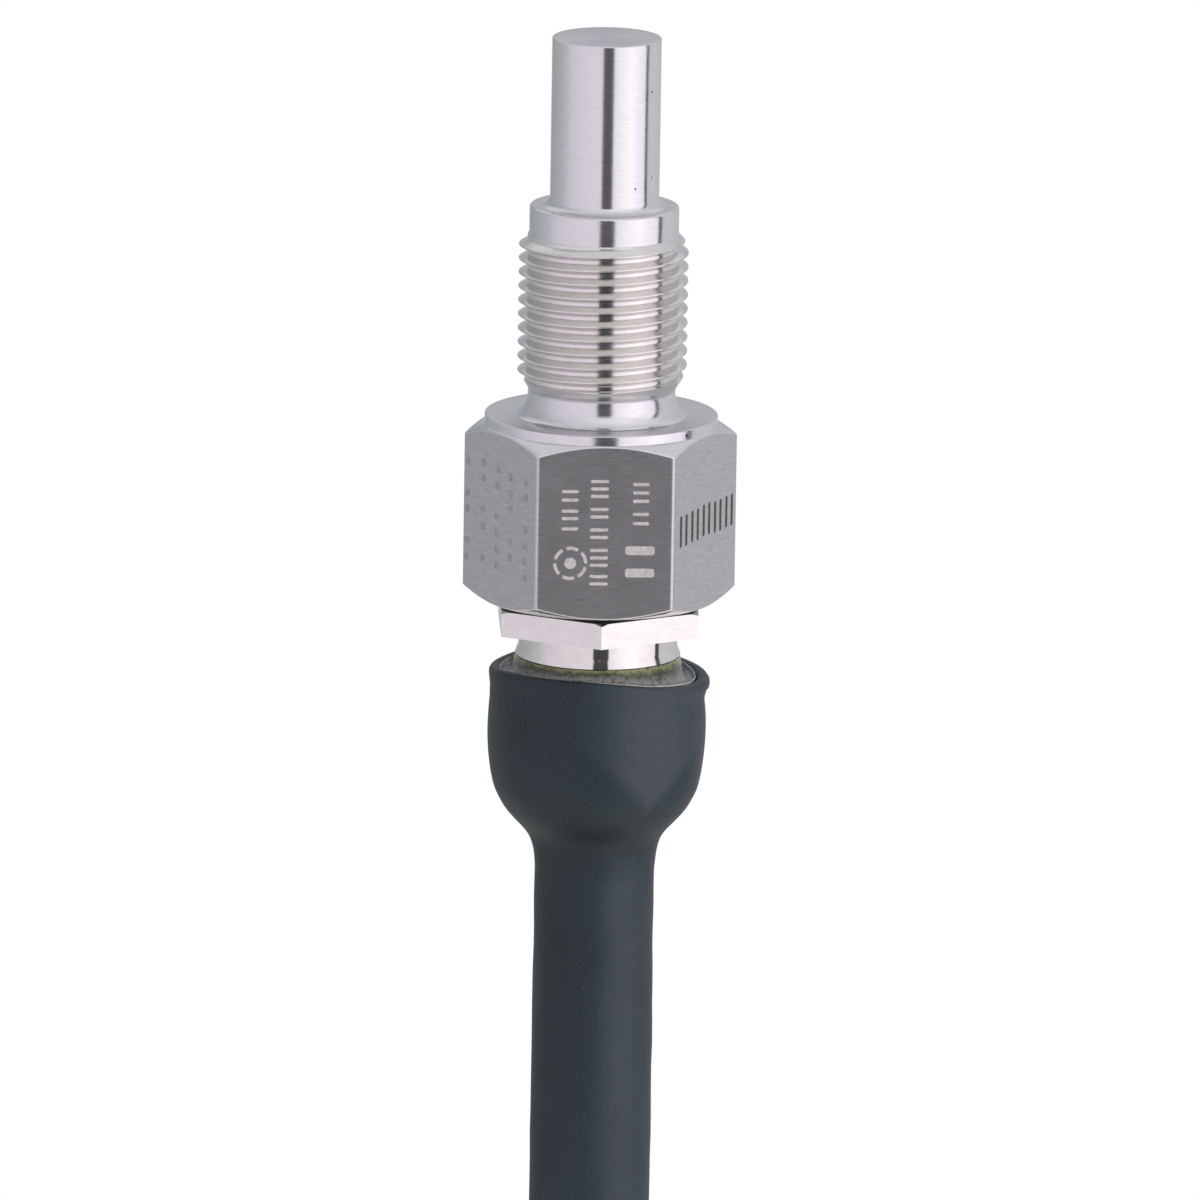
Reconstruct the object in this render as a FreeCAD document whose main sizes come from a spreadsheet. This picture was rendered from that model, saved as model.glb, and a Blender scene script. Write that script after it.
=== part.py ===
import FreeCAD, Part
import math
import os
import Sketcher

# Screw-in thermal flow sensor: a closed stainless probe with an M18 x 1.5 process
# thread and a 25 mm hexagon, a cable gland in its rear, a heat-shrink sleeve over
# the gland, and 2 m of cable. Millimetres. The origin is on the probe's axis, in
# the seating face on top of the hexagon, and +Z points to the probe's tip.

doc = FreeCAD.newDocument("flow_sensor")
dims = doc.addObject("Spreadsheet::Sheet", "dims")

# Driving sizes, one cell each. Heights above the seat are "reach" or "top".
DRIVING = {
    # probe body, outside
    "tip_dia": 11.5, "tip_reach": 40.35, "tip_break": 0.15, "tip_root_radius": 1.1,
    "pilot_dia": 15.75, "pilot_top": 22.4, "pilot_break": 0.33,
    "thread_dia": 17.9, "thread_top": 19.4, "thread_foot": 4.0,
    "groove_dia": 15.56, "flare_top": 2.3, "flare_radius": 2.74, "flare_foot_dia": 18.1,
    "seat_dia": 24.6, "collar_height": 0.98, "hex_flats": 25.0, "hex_height": 19.6,
    "hex_base_dia": 24.9, "chamfer_angle": 30.0,
    # probe body, inside
    "tip_wall": 0.8, "tip_face_wall": 0.9, "main_bore_dia": 13.0, "main_bore_top": 19.4,
    "gland_thread_dia": 16.0, "gland_bore_depth": 10.6, "gland_mouth": 0.5,
    # what is packed in the probe
    "fit": 0.1, "paste_gap": 0.3, "element_carrier_height": 9.0,
    "element_wide": 2.0, "element_deep": 1.25, "element_thick": 0.6, "element_pitch": 3.1,
    "lead_dia": 0.4, "lead_pitch": 1.2, "reference_drop": 6.0,
    "board_wide": 11.6, "board_thick": 1.0, "board_top": 17.5, "board_foot": -7.5,
    "carrier_bore_dia": 10.6, "resistor_long": 3.2, "resistor_wide": 1.6,
    "resistor_thick": 0.6, "resistor_pitch": 6.0,
    "core_dia": 1.3, "core_spread": 1.7, "core_overlap": 5.0, "core_free": 3.5,
    "potting_height": 1.9,
    # gasket and gland
    "gasket_dia": 20.6, "gasket_height": 0.62, "gland_flats": 20.8, "gland_hex_height": 2.7,
    "gland_turn": -0.8, "gland_break": 0.25, "neck_dia": 16.8, "neck_height": 2.85,
    "neck_lip": 0.35, "neck_flare_height": 0.9, "gland_male_dia": 14.8, "gland_male_height": 6.6,
    "spigot_height": 8.6, "gland_pocket_dia": 10.8, "seal_height": 5.8,
    "cage_height": 5.6, "cage_ring_height": 1.6, "cage_nose_dia": 9.0,
    "cage_nose_height": 2.2, "cage_slots": 8, "cage_slot": 0.8, "nut_flats": 18.0,
    "nut_gap": 2.73, "nut_hex_height": 9.7, "nut_turn": 20.0, "nut_break": 0.6,
    "nut_dome_height": 4.4, "nut_dome_radius": 5.0, "nut_nose_dia": 12.4,
    # hot melt and heat-shrink sleeve
    "melt_shoulder_dia": 17.6, "melt_dia": 20.6, "melt_slope": 1.4,
    "sleeve_gap": 0.15, "sleeve_rise": 0.8, "sleeve_rim_fall": 0.6,
    "sleeve_lip_wall": 0.91, "sleeve_lip_height": 0.9, "sleeve_waist_wall": 0.81,
    "sleeve_waist_height": 0.9, "sleeve_belly_wall": 0.84, "sleeve_belly_radius": 35.0,
    "sleeve_belly_lift": 0.16, "sleeve_shoulder_radius": 8.6,
    "sleeve_shoulder_angle": 52.0, "sleeve_tube_wall": 2.85, "sleeve_length": 69.3,
    # cable, its stored length and its bare end
    "cable_dia": 7.0, "lead_drop": 34.0, "lead_swing": 27.6, "lead_inset": 0.5,
    "lead_overlap": 22.0, "hank_fold": 42.0, "hank_run": 105.0, "hank_drop": 73.0,
    "hank_pitch": 7.1, "hank_round": 3.3, "tie_height": 16.0, "tie_thick": 1.6,
    "tail_drop": 20.0, "tail_length": 26.0, "bare_core_length": 22.0,
    "bare_core_dia": 1.9, "ferrule_dia": 2.3, "ferrule_length": 6.0,
}

# Sizes that follow from the driving ones, as formulas in the same sheet.
DERIVED = {
    "tip_r": "tip_dia / 2", "tip_face_r": "tip_r - tip_break",
    "tip_edge": "tip_reach - tip_break", "tip_root_r": "tip_r + tip_root_radius",
    "tip_root_top": "pilot_top + tip_root_radius",
    "pilot_r": "pilot_dia / 2", "pilot_face_r": "pilot_r - pilot_break",
    "pilot_edge": "pilot_top - pilot_break",
    "thread_r": "thread_dia / 2", "thread_crest_top": "thread_top - thread_r + pilot_r",
    "groove_r": "groove_dia / 2", "thread_end": "thread_foot - thread_r + groove_r",
    "flare_foot_r": "flare_foot_dia / 2", "seat_r": "seat_dia / 2",
    "collar_foot": "-collar_height",
    "hex_flat_r": "hex_flats / 2", "hex_corner_r": "hex_flats / sqrt(3)",
    "hex_half_corner": "hex_corner_r / 2",
    "hex_edge_top": "collar_foot - (hex_corner_r - seat_r) * tan(chamfer_angle)",
    "hex_base": "-hex_height", "hex_base_r": "hex_base_dia / 2",
    "hex_edge_foot": "hex_base + (hex_corner_r - hex_base_r) * tan(chamfer_angle)",
    "hex_clear_r": "hex_corner_r + 1",
    "tip_bore_r": "tip_r - tip_wall", "tip_inner": "tip_reach - tip_face_wall",
    "main_bore_r": "main_bore_dia / 2",
    "gland_bore_r": "gland_thread_dia / 2", "gland_bore_top": "hex_base + gland_bore_depth",
    "gland_mouth_r": "gland_bore_r + gland_mouth", "gland_mouth_top": "hex_base + gland_mouth",
    "element_carrier_r": "tip_bore_r - fit", "element_carrier_top": "tip_inner - paste_gap",
    "element_carrier_foot": "element_carrier_top - element_carrier_height",
    "element_top": "element_carrier_top - fit", "element_foot": "element_top - element_thick",
    "reference_top": "element_top - reference_drop",
    "reference_foot": "reference_top - element_thick",
    "pocket_wide": "element_wide + 2 * fit", "pocket_deep": "element_deep + 2 * fit",
    "carrier_r": "main_bore_r - fit", "carrier_bore_r": "carrier_bore_dia / 2",
    "carrier_top": "main_bore_top - fit", "carrier_foot": "gland_bore_top + fit",
    "slot_wide": "board_wide + 2 * fit", "slot_thick": "board_thick + 2 * fit",
    "carrier_height": "carrier_top - carrier_foot", "board_height": "board_top - board_foot",
    "core_r": "core_dia / 2", "core_side": "board_thick / 2 + fit + core_r",
    "core_foot": "potting_foot - core_free",
    "core_height": "board_foot + core_overlap - core_foot",
    "potting_top": "gland_bore_top - fit", "potting_foot": "potting_top - potting_height",
    "gasket_r": "gasket_dia / 2", "gasket_bore_r": "gland_bore_r + fit",
    "gasket_foot": "hex_base - gasket_height",
    "gland_flat_r": "gland_flats / 2", "gland_corner_r": "gland_flats / sqrt(3)",
    "gland_half_corner": "gland_corner_r / 2", "gland_clear_r": "gland_corner_r + 1",
    "gland_break_r": "gland_corner_r - gland_break / tan(chamfer_angle)",
    "gland_hex_top": "gasket_foot", "gland_edge_top": "gland_hex_top - gland_break",
    "gland_hex_foot": "gland_hex_top - gland_hex_height",
    "spigot_r": "gland_bore_r - fit", "spigot_top": "gland_hex_top + spigot_height",
    "neck_r": "neck_dia / 2", "neck_foot": "gland_hex_foot - neck_height",
    "neck_lip_r": "neck_r + neck_lip", "neck_flare_top": "neck_foot + neck_flare_height",
    "gland_male_r": "gland_male_dia / 2", "gland_male_foot": "neck_foot - gland_male_height",
    "gland_pocket_r": "gland_pocket_dia / 2",
    "cable_r": "cable_dia / 2", "cable_way_r": "cable_r + fit",
    "seal_r": "gland_pocket_r - fit", "seal_foot": "gland_male_foot + fit",
    "seal_top": "seal_foot + seal_height", "gland_pocket_top": "seal_top + fit",
    "cage_top": "gland_male_foot - fit", "cage_foot": "cage_top - cage_height",
    "cage_shoulder": "cage_foot + cage_nose_height", "cage_nose_r": "cage_nose_dia / 2",
    "cage_slot_half": "cage_slot / 2", "cage_slot_top": "cage_top - cage_ring_height",
    "nut_flat_r": "nut_flats / 2", "nut_corner_r": "nut_flats / sqrt(3)",
    "nut_half_corner": "nut_corner_r / 2", "nut_clear_r": "nut_corner_r + 1",
    "nut_top": "neck_foot - nut_gap",
    "nut_hex_foot": "nut_top - nut_hex_height", "nut_foot": "nut_hex_foot - nut_dome_height",
    "nut_break_r": "nut_corner_r - nut_break / tan(chamfer_angle)",
    "nut_edge_top": "nut_top - nut_break", "nut_nose_r": "nut_nose_dia / 2",
    "nut_dome_r": "nut_flat_r",
    "nut_bore_r": "gland_male_r + fit", "nut_bore_foot": "gland_male_foot - fit / 2",
    "nut_seat_r": "seal_r + fit", "nut_cone_top": "cage_shoulder", "nut_cone_r": "cage_nose_r + fit",
    "nut_cone_foot": "cage_foot - fit", "nut_way_r": "cable_r + 3 * fit",
    "melt_bore_r": "gland_male_r + fit", "melt_top": "neck_foot - fit",
    "melt_shoulder_r": "melt_shoulder_dia / 2", "melt_r": "melt_dia / 2",
    "melt_edge": "melt_top - melt_slope", "melt_foot": "nut_top + fit",
    "sleeve_rim": "nut_top + sleeve_rise", "sleeve_end": "sleeve_rim - sleeve_length",
    "rim_left": "sleeve_rim + sleeve_rim_fall", "rim_right": "sleeve_rim - sleeve_rim_fall",
    "rim_clear_top": "rim_left + 1", "rim_clear": "4 * sleeve_lip_r",
    "sleeve_bore_r": "nut_corner_r + sleeve_gap",
    "sleeve_lip_r": "sleeve_bore_r + sleeve_lip_wall",
    "sleeve_lip_foot": "sleeve_rim - sleeve_lip_height",
    "sleeve_waist_r": "sleeve_bore_r + sleeve_waist_wall",
    "sleeve_waist_z": "sleeve_lip_foot - sleeve_waist_height",
    "sleeve_belly_r": "sleeve_bore_r + sleeve_belly_wall",
    "sleeve_belly_z": "nut_hex_foot + sleeve_belly_lift",
    "sleeve_belly_height": "sleeve_waist_z - sleeve_belly_z",
    "belly_sin": "sleeve_belly_height / 2 / sleeve_belly_radius",
    "belly_cos": "sqrt(1 - belly_sin ^ 2)",
    "shoulder_sin": "sin(sleeve_shoulder_angle)", "shoulder_cos": "cos(sleeve_shoulder_angle)",
    "sleeve_shoulder_r": "sleeve_belly_r - sleeve_shoulder_radius * (belly_cos - shoulder_cos)",
    "sleeve_shoulder_z": "sleeve_belly_z - sleeve_shoulder_radius * (shoulder_sin - belly_sin)",
    "sleeve_tube_r": "cable_r + sleeve_tube_wall",
    "sleeve_neck_radius": "(sleeve_shoulder_r - sleeve_tube_r) / (1 - shoulder_cos)",
    "sleeve_neck_z": "sleeve_shoulder_z - sleeve_neck_radius * shoulder_sin",
    "sleeve_bore_foot": "nut_hex_foot - sleeve_gap", "sleeve_cable_r": "cable_r + fit",
    "sleeve_dome_r": "nut_dome_r + 2 * sleeve_gap",
    "sleeve_dome_radius": "nut_dome_radius + sleeve_gap",
    "sleeve_nose_r": "nut_nose_r + 2 * sleeve_gap", "sleeve_nose_z": "nut_foot - sleeve_gap",
    "sleeve_cable_top": "sleeve_nose_z - sleeve_nose_r + sleeve_cable_r",
    "cable_top": "core_foot", "cable_height": "cable_top - sleeve_end",
    "hank_in_r": "hank_fold / 2 - cable_r", "hank_out_r": "hank_fold / 2 + hank_pitch + cable_r",
    "hank_top_z": "sleeve_end - hank_drop", "hank_foot_z": "hank_top_z - hank_run",
    "hank_in_top": "hank_top_z + hank_in_r", "hank_in_foot": "hank_foot_z - hank_in_r",
    "hank_out_top": "hank_top_z + hank_out_r", "hank_out_foot": "hank_foot_z - hank_out_r",
    "hank_half_deep": "hank_pitch + cable_r", "hank_deep": "2 * hank_half_deep",
    "lead_side": "hank_out_r - cable_r - lead_inset",
    "tie_in_x": "hank_out_r + fit", "tie_in_y": "hank_half_deep + fit",
    "tie_out_x": "tie_in_x + tie_thick", "tie_out_y": "tie_in_y + tie_thick",
    "tie_in_round": "hank_round + fit", "tie_out_round": "tie_in_round + tie_thick",
    "tie_in_flat_x": "tie_in_x - tie_in_round", "tie_in_flat_y": "tie_in_y - tie_in_round",
    "tie_out_flat_x": "tie_out_x - tie_out_round",
    "tie_out_flat_y": "tie_out_y - tie_out_round",
    "tie_foot": "(hank_top_z + hank_foot_z) / 2 - tie_height / 2",
    "tail_x": "hank_fold / 2 + hank_pitch / 2", "tail_y": "hank_half_deep + cable_r + fit",
    "tail_foot": "tie_foot - tail_drop - tail_length",
}


def fill_sheet():
    """Write the driving numbers and the formulas, each in a cell with its name."""
    cells = {name: str(value) for name, value in DRIVING.items()}
    cells.update({name: "=" + rule for name, rule in DERIVED.items()})
    for row, name in enumerate(cells, start=1):
        dims.set(f"A{row}", name)
        dims.setAlias(f"B{row}", name)
    for row, content in enumerate(cells.values(), start=1):
        dims.set(f"B{row}", content)
    doc.recompute()


def size(name):
    """The value of a named cell, with an optional minus sign, or 0."""
    if name == 0:
        return 0.0
    sign = -1.0 if name.startswith("-") else 1.0
    return sign * float(dims.get(name.lstrip("-")))


def formula(name):
    """The expression that reads a named cell, with an optional minus sign."""
    return "-dims." + name[1:] if name.startswith("-") else "dims." + name


def origin_feature(body, role):
    """One of a body's own origin planes or axes, found by its role."""
    return next(f for f in body.Origin.OriginFeatures if f.Role == role)


def new_body(label, turn=None):
    """An empty body, turned about Z by a named angle if one is given."""
    body = doc.addObject("PartDesign::Body", label)
    body.Label = label
    if turn:
        body.Placement.Rotation = FreeCAD.Rotation(FreeCAD.Vector(0, 0, 1), 1)
        body.setExpression("Placement.Rotation.Angle", formula(turn))
    return body


def new_sketch(body, name, role, height=None):
    """A sketch on an origin plane, lifted by a named height if one is given."""
    sketch = body.newObject("Sketcher::SketchObject", name)
    sketch.AttachmentSupport = [(origin_feature(body, role), "")]
    sketch.MapMode = "FlatFace"
    if height:
        sketch.setExpression("AttachmentOffset.Base.z", formula(height))
    return sketch


def arc_between(start, end, radius, side):
    """An arc from start to end whose centre lies left (+1) or right (-1) of the way."""
    way = end - start
    middle = (start + end) * 0.5
    left = FreeCAD.Vector(-way.y, way.x, 0).normalize()
    height = math.sqrt(max(radius**2 - (way.Length / 2) ** 2, 0))
    centre = middle + left * (side * height)
    first, last = (start, end) if side > 0 else (end, start)
    angles = [math.atan2(p.y - centre.y, p.x - centre.x) for p in (first, last)]
    circle = Part.Circle(centre, FreeCAD.Vector(0, 0, 1), radius)
    return Part.ArcOfCircle(circle, *angles)


def pin_point(sketch, edge, end, x, y):
    """Hold one end of an edge at a named x and y."""
    for axis, kind, name in ((-2, "DistanceX", x), (-1, "DistanceY", y)):
        if name == 0:
            sketch.addConstraint(Sketcher.Constraint("PointOnObject", edge, end, axis))
        else:
            held = sketch.addConstraint(
                Sketcher.Constraint(kind, -1, 1, edge, end, size(name))
            )
            sketch.setExpression(f"Constraints[{held}]", formula(name))


def draw_loop(sketch, corners):
    """A closed loop of named corners (x, y) or (x, y, radius, side): with a radius,
    the edge that leaves the corner is an arc, centred left (+1) or right (-1)."""
    points = [FreeCAD.Vector(size(c[0]), size(c[1]), 0) for c in corners]
    ends = []
    for i, corner in enumerate(corners):
        start, end = points[i], points[(i + 1) % len(points)]
        if len(corner) == 4:
            edge = sketch.addGeometry(arc_between(start, end, size(corner[2]), corner[3]))
            held = sketch.addConstraint(
                Sketcher.Constraint("Radius", edge, size(corner[2]))
            )
            sketch.setExpression(f"Constraints[{held}]", formula(corner[2]))
            ends.append((edge, 1, 2) if corner[3] > 0 else (edge, 2, 1))
        else:
            edge = sketch.addGeometry(Part.LineSegment(start, end))
            ends.append((edge, 1, 2))
    for i, (edge, start_end, _) in enumerate(ends):
        before, _, before_end = ends[i - 1]
        sketch.addConstraint(
            Sketcher.Constraint("Coincident", before, before_end, edge, start_end)
        )
        pin_point(sketch, edge, start_end, *corners[i][:2])


def draw_circle(sketch, radius, x=0, y=0):
    """A circle of a named radius at a named place."""
    circle = Part.Circle(FreeCAD.Vector(size(x), size(y), 0), FreeCAD.Vector(0, 0, 1), size(radius))
    edge = sketch.addGeometry(circle)
    held = sketch.addConstraint(Sketcher.Constraint("Radius", edge, size(radius)))
    sketch.setExpression(f"Constraints[{held}]", formula(radius))
    pin_point(sketch, edge, 3, x, y)


def turned(label, corners, turn=None):
    """A body turned from a half profile in the XZ plane."""
    body = new_body(label, turn)
    sketch = new_sketch(body, label + "_profile", "XZ_Plane")
    draw_loop(sketch, corners)
    spin = body.newObject("PartDesign::Revolution", label + "_turning")
    spin.Profile = sketch
    spin.ReferenceAxis = (sketch, ["V_Axis"])
    spin.Angle = 360
    doc.recompute()
    return body


def extruded(body, name, kind, height, from_height, draw):
    """A pad or pocket of a named height, drawn at a named height above the origin."""
    sketch = new_sketch(body, name + "_profile", "XY_Plane", from_height)
    draw(sketch)
    feature = body.newObject("PartDesign::" + kind, name)
    feature.Profile = sketch
    feature.setExpression("Length", formula(height))
    doc.recompute()
    return feature


def mill_hexagon(body, name, flat, corner, half, clear, top, height, corner_ahead):
    """Cut a turned blank to a hexagon, from a named height down."""
    ring = [(corner, 0), (half, flat), ("-" + half, flat), ("-" + corner, 0),
            ("-" + half, "-" + flat), (half, "-" + flat)]
    if corner_ahead:
        ring = [(y, x) for x, y in ring]

    def draw(sketch):
        draw_circle(sketch, clear)
        draw_loop(sketch, ring)

    before = body.Shape.Volume
    extruded(body, name, "Pocket", height, top, draw)
    if body.Shape.Volume >= before:
        raise ValueError(name + " cut nothing")


def bind(item, **sizes):
    """Tie an object's properties to expressions; x, y and z are its place."""
    places = {"x": "Placement.Base.x", "y": "Placement.Base.y", "z": "Placement.Base.z"}
    for name, expression in sizes.items():
        item.setExpression(places.get(name, name), expression)


def block(label, long, wide, high, x, y, z):
    """A box whose sizes and middle-bottom place are expressions."""
    item = doc.addObject("Part::Box", label)
    item.Label = label
    bind(item, Length=long, Width=wide, Height=high, z=z,
         x=f"({x}) - ({long}) / 2", y=f"({y}) - ({wide}) / 2")
    return item


def rod(label, radius, height, x, y, z):
    """A cylinder along Z whose sizes and foot are expressions."""
    item = doc.addObject("Part::Cylinder", label)
    item.Label = label
    bind(item, Radius=radius, Height=height, x=x, y=y, z=z)
    return item


def cut_away(label, base, tools):
    """The base with one or more tools cut out of it."""
    item = doc.addObject("Part::Cut", label)
    item.Label = label
    item.Base = base
    if len(tools) > 1:
        item.Tool = doc.addObject("Part::Compound", label + "_tools")
        item.Tool.Links = tools
    else:
        item.Tool = tools[0]
    return item


def sensor_body():
    """One turned and milled stainless piece: closed tip, pilot, thread, seat, hexagon."""
    body = turned("sensor_body", [
        (0, "tip_reach"), ("tip_face_r", "tip_reach"), ("tip_r", "tip_edge"),
        ("tip_r", "tip_root_top", "tip_root_radius", 1), ("tip_root_r", "pilot_top"),
        ("pilot_face_r", "pilot_top"), ("pilot_r", "pilot_edge"), ("pilot_r", "thread_top"),
        ("thread_r", "thread_crest_top"), ("thread_r", "thread_foot"),
        ("groove_r", "thread_end"), ("groove_r", "flare_top", "flare_radius", 1),
        ("flare_foot_r", 0), ("seat_r", 0), ("seat_r", "collar_foot"),
        ("hex_corner_r", "hex_edge_top"), ("hex_corner_r", "hex_edge_foot"),
        ("hex_base_r", "hex_base"), ("gland_mouth_r", "hex_base"),
        ("gland_bore_r", "gland_mouth_top"), ("gland_bore_r", "gland_bore_top"),
        ("main_bore_r", "gland_bore_top"), ("main_bore_r", "main_bore_top"),
        ("tip_bore_r", "main_bore_top"), ("tip_bore_r", "tip_inner"), (0, "tip_inner"),
    ])
    mill_hexagon(body, "hexagon", "hex_flat_r", "hex_corner_r", "hex_half_corner",
                 "hex_clear_r", 0, "hex_height", corner_ahead=False)
    return body


def gland_body():
    """The gland's lower piece: spigot, hexagon, flared neck, and the nut's thread."""
    body = turned("gland_body", [
        ("cable_way_r", "spigot_top"), ("spigot_r", "spigot_top"),
        ("spigot_r", "gland_hex_top"), ("gland_break_r", "gland_hex_top"),
        ("gland_corner_r", "gland_edge_top"), ("gland_corner_r", "gland_hex_foot"),
        ("neck_r", "gland_hex_foot"), ("neck_r", "neck_flare_top"),
        ("neck_lip_r", "neck_foot"), ("gland_male_r", "neck_foot"), ("gland_male_r", "gland_male_foot"),
        ("gland_pocket_r", "gland_male_foot"), ("gland_pocket_r", "gland_pocket_top"),
        ("cable_way_r", "gland_pocket_top"),
    ], turn="gland_turn")
    mill_hexagon(body, "gland_hexagon", "gland_flat_r", "gland_corner_r",
                 "gland_half_corner", "gland_clear_r", "gland_hex_top",
                 "gland_hex_height", corner_ahead=True)
    return body


def gland_cage():
    """The clamping cage: a ring whose tapered nose is slotted into fingers."""
    body = turned("gland_cage", [
        ("cable_way_r", "cage_top"), ("seal_r", "cage_top"), ("seal_r", "cage_shoulder"),
        ("cage_nose_r", "cage_foot"), ("cable_way_r", "cage_foot"),
    ])

    def draw(sketch):
        draw_loop(sketch, [(0, "-cage_slot_half"), ("gland_pocket_r", "-cage_slot_half"),
                           ("gland_pocket_r", "cage_slot_half"), (0, "cage_slot_half")])

    slot = extruded(body, "cage_finger_slot", "Pocket", "cage_height", "cage_slot_top", draw)
    ring = body.newObject("PartDesign::PolarPattern", "cage_finger_slots")
    ring.Originals = [slot]
    ring.Axis = (origin_feature(body, "Z_Axis"), [""])
    ring.Angle = 360
    ring.setExpression("Occurrences", "dims.cage_slots")
    body.Tip = ring
    return body


def gland_nut():
    """The dome nut: a hexagon with a rounded nose that squeezes the cage."""
    body = turned("gland_nut", [
        ("nut_bore_r", "nut_top"), ("nut_break_r", "nut_top"),
        ("nut_corner_r", "nut_edge_top"), ("nut_corner_r", "nut_hex_foot"),
        ("nut_dome_r", "nut_hex_foot", "nut_dome_radius", -1), ("nut_nose_r", "nut_foot"),
        ("nut_way_r", "nut_foot"), ("nut_way_r", "nut_cone_foot"),
        ("nut_cone_r", "nut_cone_foot"), ("nut_seat_r", "nut_cone_top"),
        ("nut_seat_r", "nut_bore_foot"), ("nut_bore_r", "nut_bore_foot"),
    ], turn="nut_turn")
    mill_hexagon(body, "nut_hexagon", "nut_flat_r", "nut_corner_r", "nut_half_corner",
                 "nut_clear_r", "nut_top", "nut_hex_height", corner_ahead=True)
    return body


def heat_shrink_sleeve():
    """The shrunk sleeve: a belly over the nut, a shoulder, a tube, and an oblique rim."""
    body = turned("heat_shrink_sleeve", [
        ("sleeve_bore_r", "rim_left"), ("sleeve_lip_r", "rim_left"),
        ("sleeve_lip_r", "sleeve_lip_foot"),
        ("sleeve_waist_r", "sleeve_waist_z", "sleeve_belly_radius", -1),
        ("sleeve_belly_r", "sleeve_belly_z", "sleeve_shoulder_radius", -1),
        ("sleeve_shoulder_r", "sleeve_shoulder_z", "sleeve_neck_radius", 1),
        ("sleeve_tube_r", "sleeve_neck_z"), ("sleeve_tube_r", "sleeve_end"),
        ("sleeve_cable_r", "sleeve_end"), ("sleeve_cable_r", "sleeve_cable_top"),
        ("sleeve_nose_r", "sleeve_nose_z", "sleeve_dome_radius", 1),
        ("sleeve_dome_r", "sleeve_bore_foot"), ("sleeve_bore_r", "sleeve_bore_foot"),
    ])
    sketch = new_sketch(body, "rim_cut_profile", "XZ_Plane")
    draw_loop(sketch, [("-sleeve_lip_r", "rim_left"), ("sleeve_lip_r", "rim_right"),
                       ("sleeve_lip_r", "rim_clear_top"), ("-sleeve_lip_r", "rim_clear_top")])
    cut = body.newObject("PartDesign::Pocket", "rim_cut")
    cut.Profile = sketch
    cut.Midplane = True
    cut.setExpression("Length", "dims.rim_clear")
    doc.recompute()
    return body


def ring(label, inner, outer, foot, top):
    """A plain ring or bush between two named radii and two named heights."""
    return turned(label, [(inner, foot), (outer, foot), (outer, top), (inner, top)])


def hot_melt_ring():
    """The adhesive that fills the sleeve's mouth and slopes down from the gland's lip."""
    return turned("hot_melt_ring", [
        ("melt_bore_r", "melt_top"), ("melt_shoulder_r", "melt_top"), ("melt_r", "melt_edge"),
        ("melt_r", "melt_foot"), ("melt_bore_r", "melt_foot"),
    ])


# The three sensing elements: name, place in units of the pitch, and the named height
# of their lower face.
ELEMENTS = [
    ("heater_element", 0, "element_foot"),
    ("flow_thermistor", -1, "element_foot"),
    ("reference_thermistor", 1, "reference_foot"),
]


def sensing_elements():
    """The elements, their leads down to the board, and the carrier that holds them."""
    pieces, pockets = [], []
    for name, place, foot in ELEMENTS:
        middle = f"{place} * dims.element_pitch"
        pieces.append(block(name, "dims.element_wide", "dims.element_deep",
                            "dims.element_thick", middle, "0", f"dims.{foot}"))
        if foot == "element_foot":
            low, high = "dims.element_foot - dims.fit", "dims.tip_reach"
        else:
            low, high = "dims.element_carrier_foot - dims.fit", "dims.reference_top + dims.fit"
        pockets.append(block(name + "_pocket", "dims.pocket_wide", "dims.pocket_deep",
                             f"({high}) - ({low})", middle, "0", low))
        for end, side in (("a", -1), ("b", 1)):
            lead_x = f"({middle}) + {side} * dims.lead_pitch / 2"
            pieces.append(rod(f"{name}_lead_{end}", "dims.lead_dia / 2",
                              f"dims.{foot} - dims.board_top", lead_x, "0", "dims.board_top"))
            pockets.append(rod(f"{name}_way_{end}", "dims.lead_dia / 2 + dims.fit",
                               f"dims.{foot} - dims.board_top", lead_x, "0", "dims.board_top"))
    plug = rod("element_carrier_blank", "dims.element_carrier_r",
               "dims.element_carrier_height", "0", "0", "dims.element_carrier_foot")
    pieces.append(cut_away("element_carrier", plug, pockets))
    pieces.append(rod("thermal_paste", "dims.element_carrier_r", "dims.paste_gap",
                      "0", "0", "dims.element_carrier_top"))
    return pieces


def sensor_board():
    """The circuit board, its resistors, and the slotted tube that holds it."""
    board = block("sensor_board", "dims.board_wide", "dims.board_thick",
                  "dims.board_height", "0", "0", "dims.board_foot")
    resistors = [
        block(f"limiting_resistor_{n}", "dims.resistor_wide", "dims.resistor_thick",
              "dims.resistor_long", "0", "-(dims.board_thick + dims.resistor_thick) / 2",
              f"dims.board_top - {n} * dims.resistor_pitch")
        for n in (1, 2, 3)
    ]
    tube = rod("board_carrier_blank", "dims.carrier_r", "dims.carrier_height",
               "0", "0", "dims.carrier_foot")
    bore = rod("board_carrier_bore", "dims.carrier_bore_r", "dims.carrier_height",
               "0", "0", "dims.carrier_foot")
    slot = block("board_carrier_slot", "dims.slot_wide", "dims.slot_thick",
                 "dims.carrier_height", "0", "0", "dims.carrier_foot")
    return [board, *resistors, cut_away("board_carrier", tube, [bore, slot])]


def cores_and_potting():
    """Four insulated cores from the cable's end to the board, through the potting."""
    cores, ways = [], []
    colours = {"brown": (-1, -1), "white": (1, -1), "blue": (-1, 1), "black": (1, 1)}
    for colour, (side, face) in colours.items():
        place = (f"{side} * dims.core_spread / 2", f"{face} * dims.core_side")
        cores.append(rod(f"core_{colour}", "dims.core_r", "dims.core_height",
                         *place, "dims.core_foot"))
        ways.append(rod(f"core_{colour}_way", "dims.core_r + dims.fit", "dims.core_height",
                        *place, "dims.core_foot"))
    plug = rod("potting_blank", "dims.spigot_r", "dims.potting_height",
               "0", "0", "dims.potting_foot")
    return [*cores, cut_away("potting_plug", plug, ways)]


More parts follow.
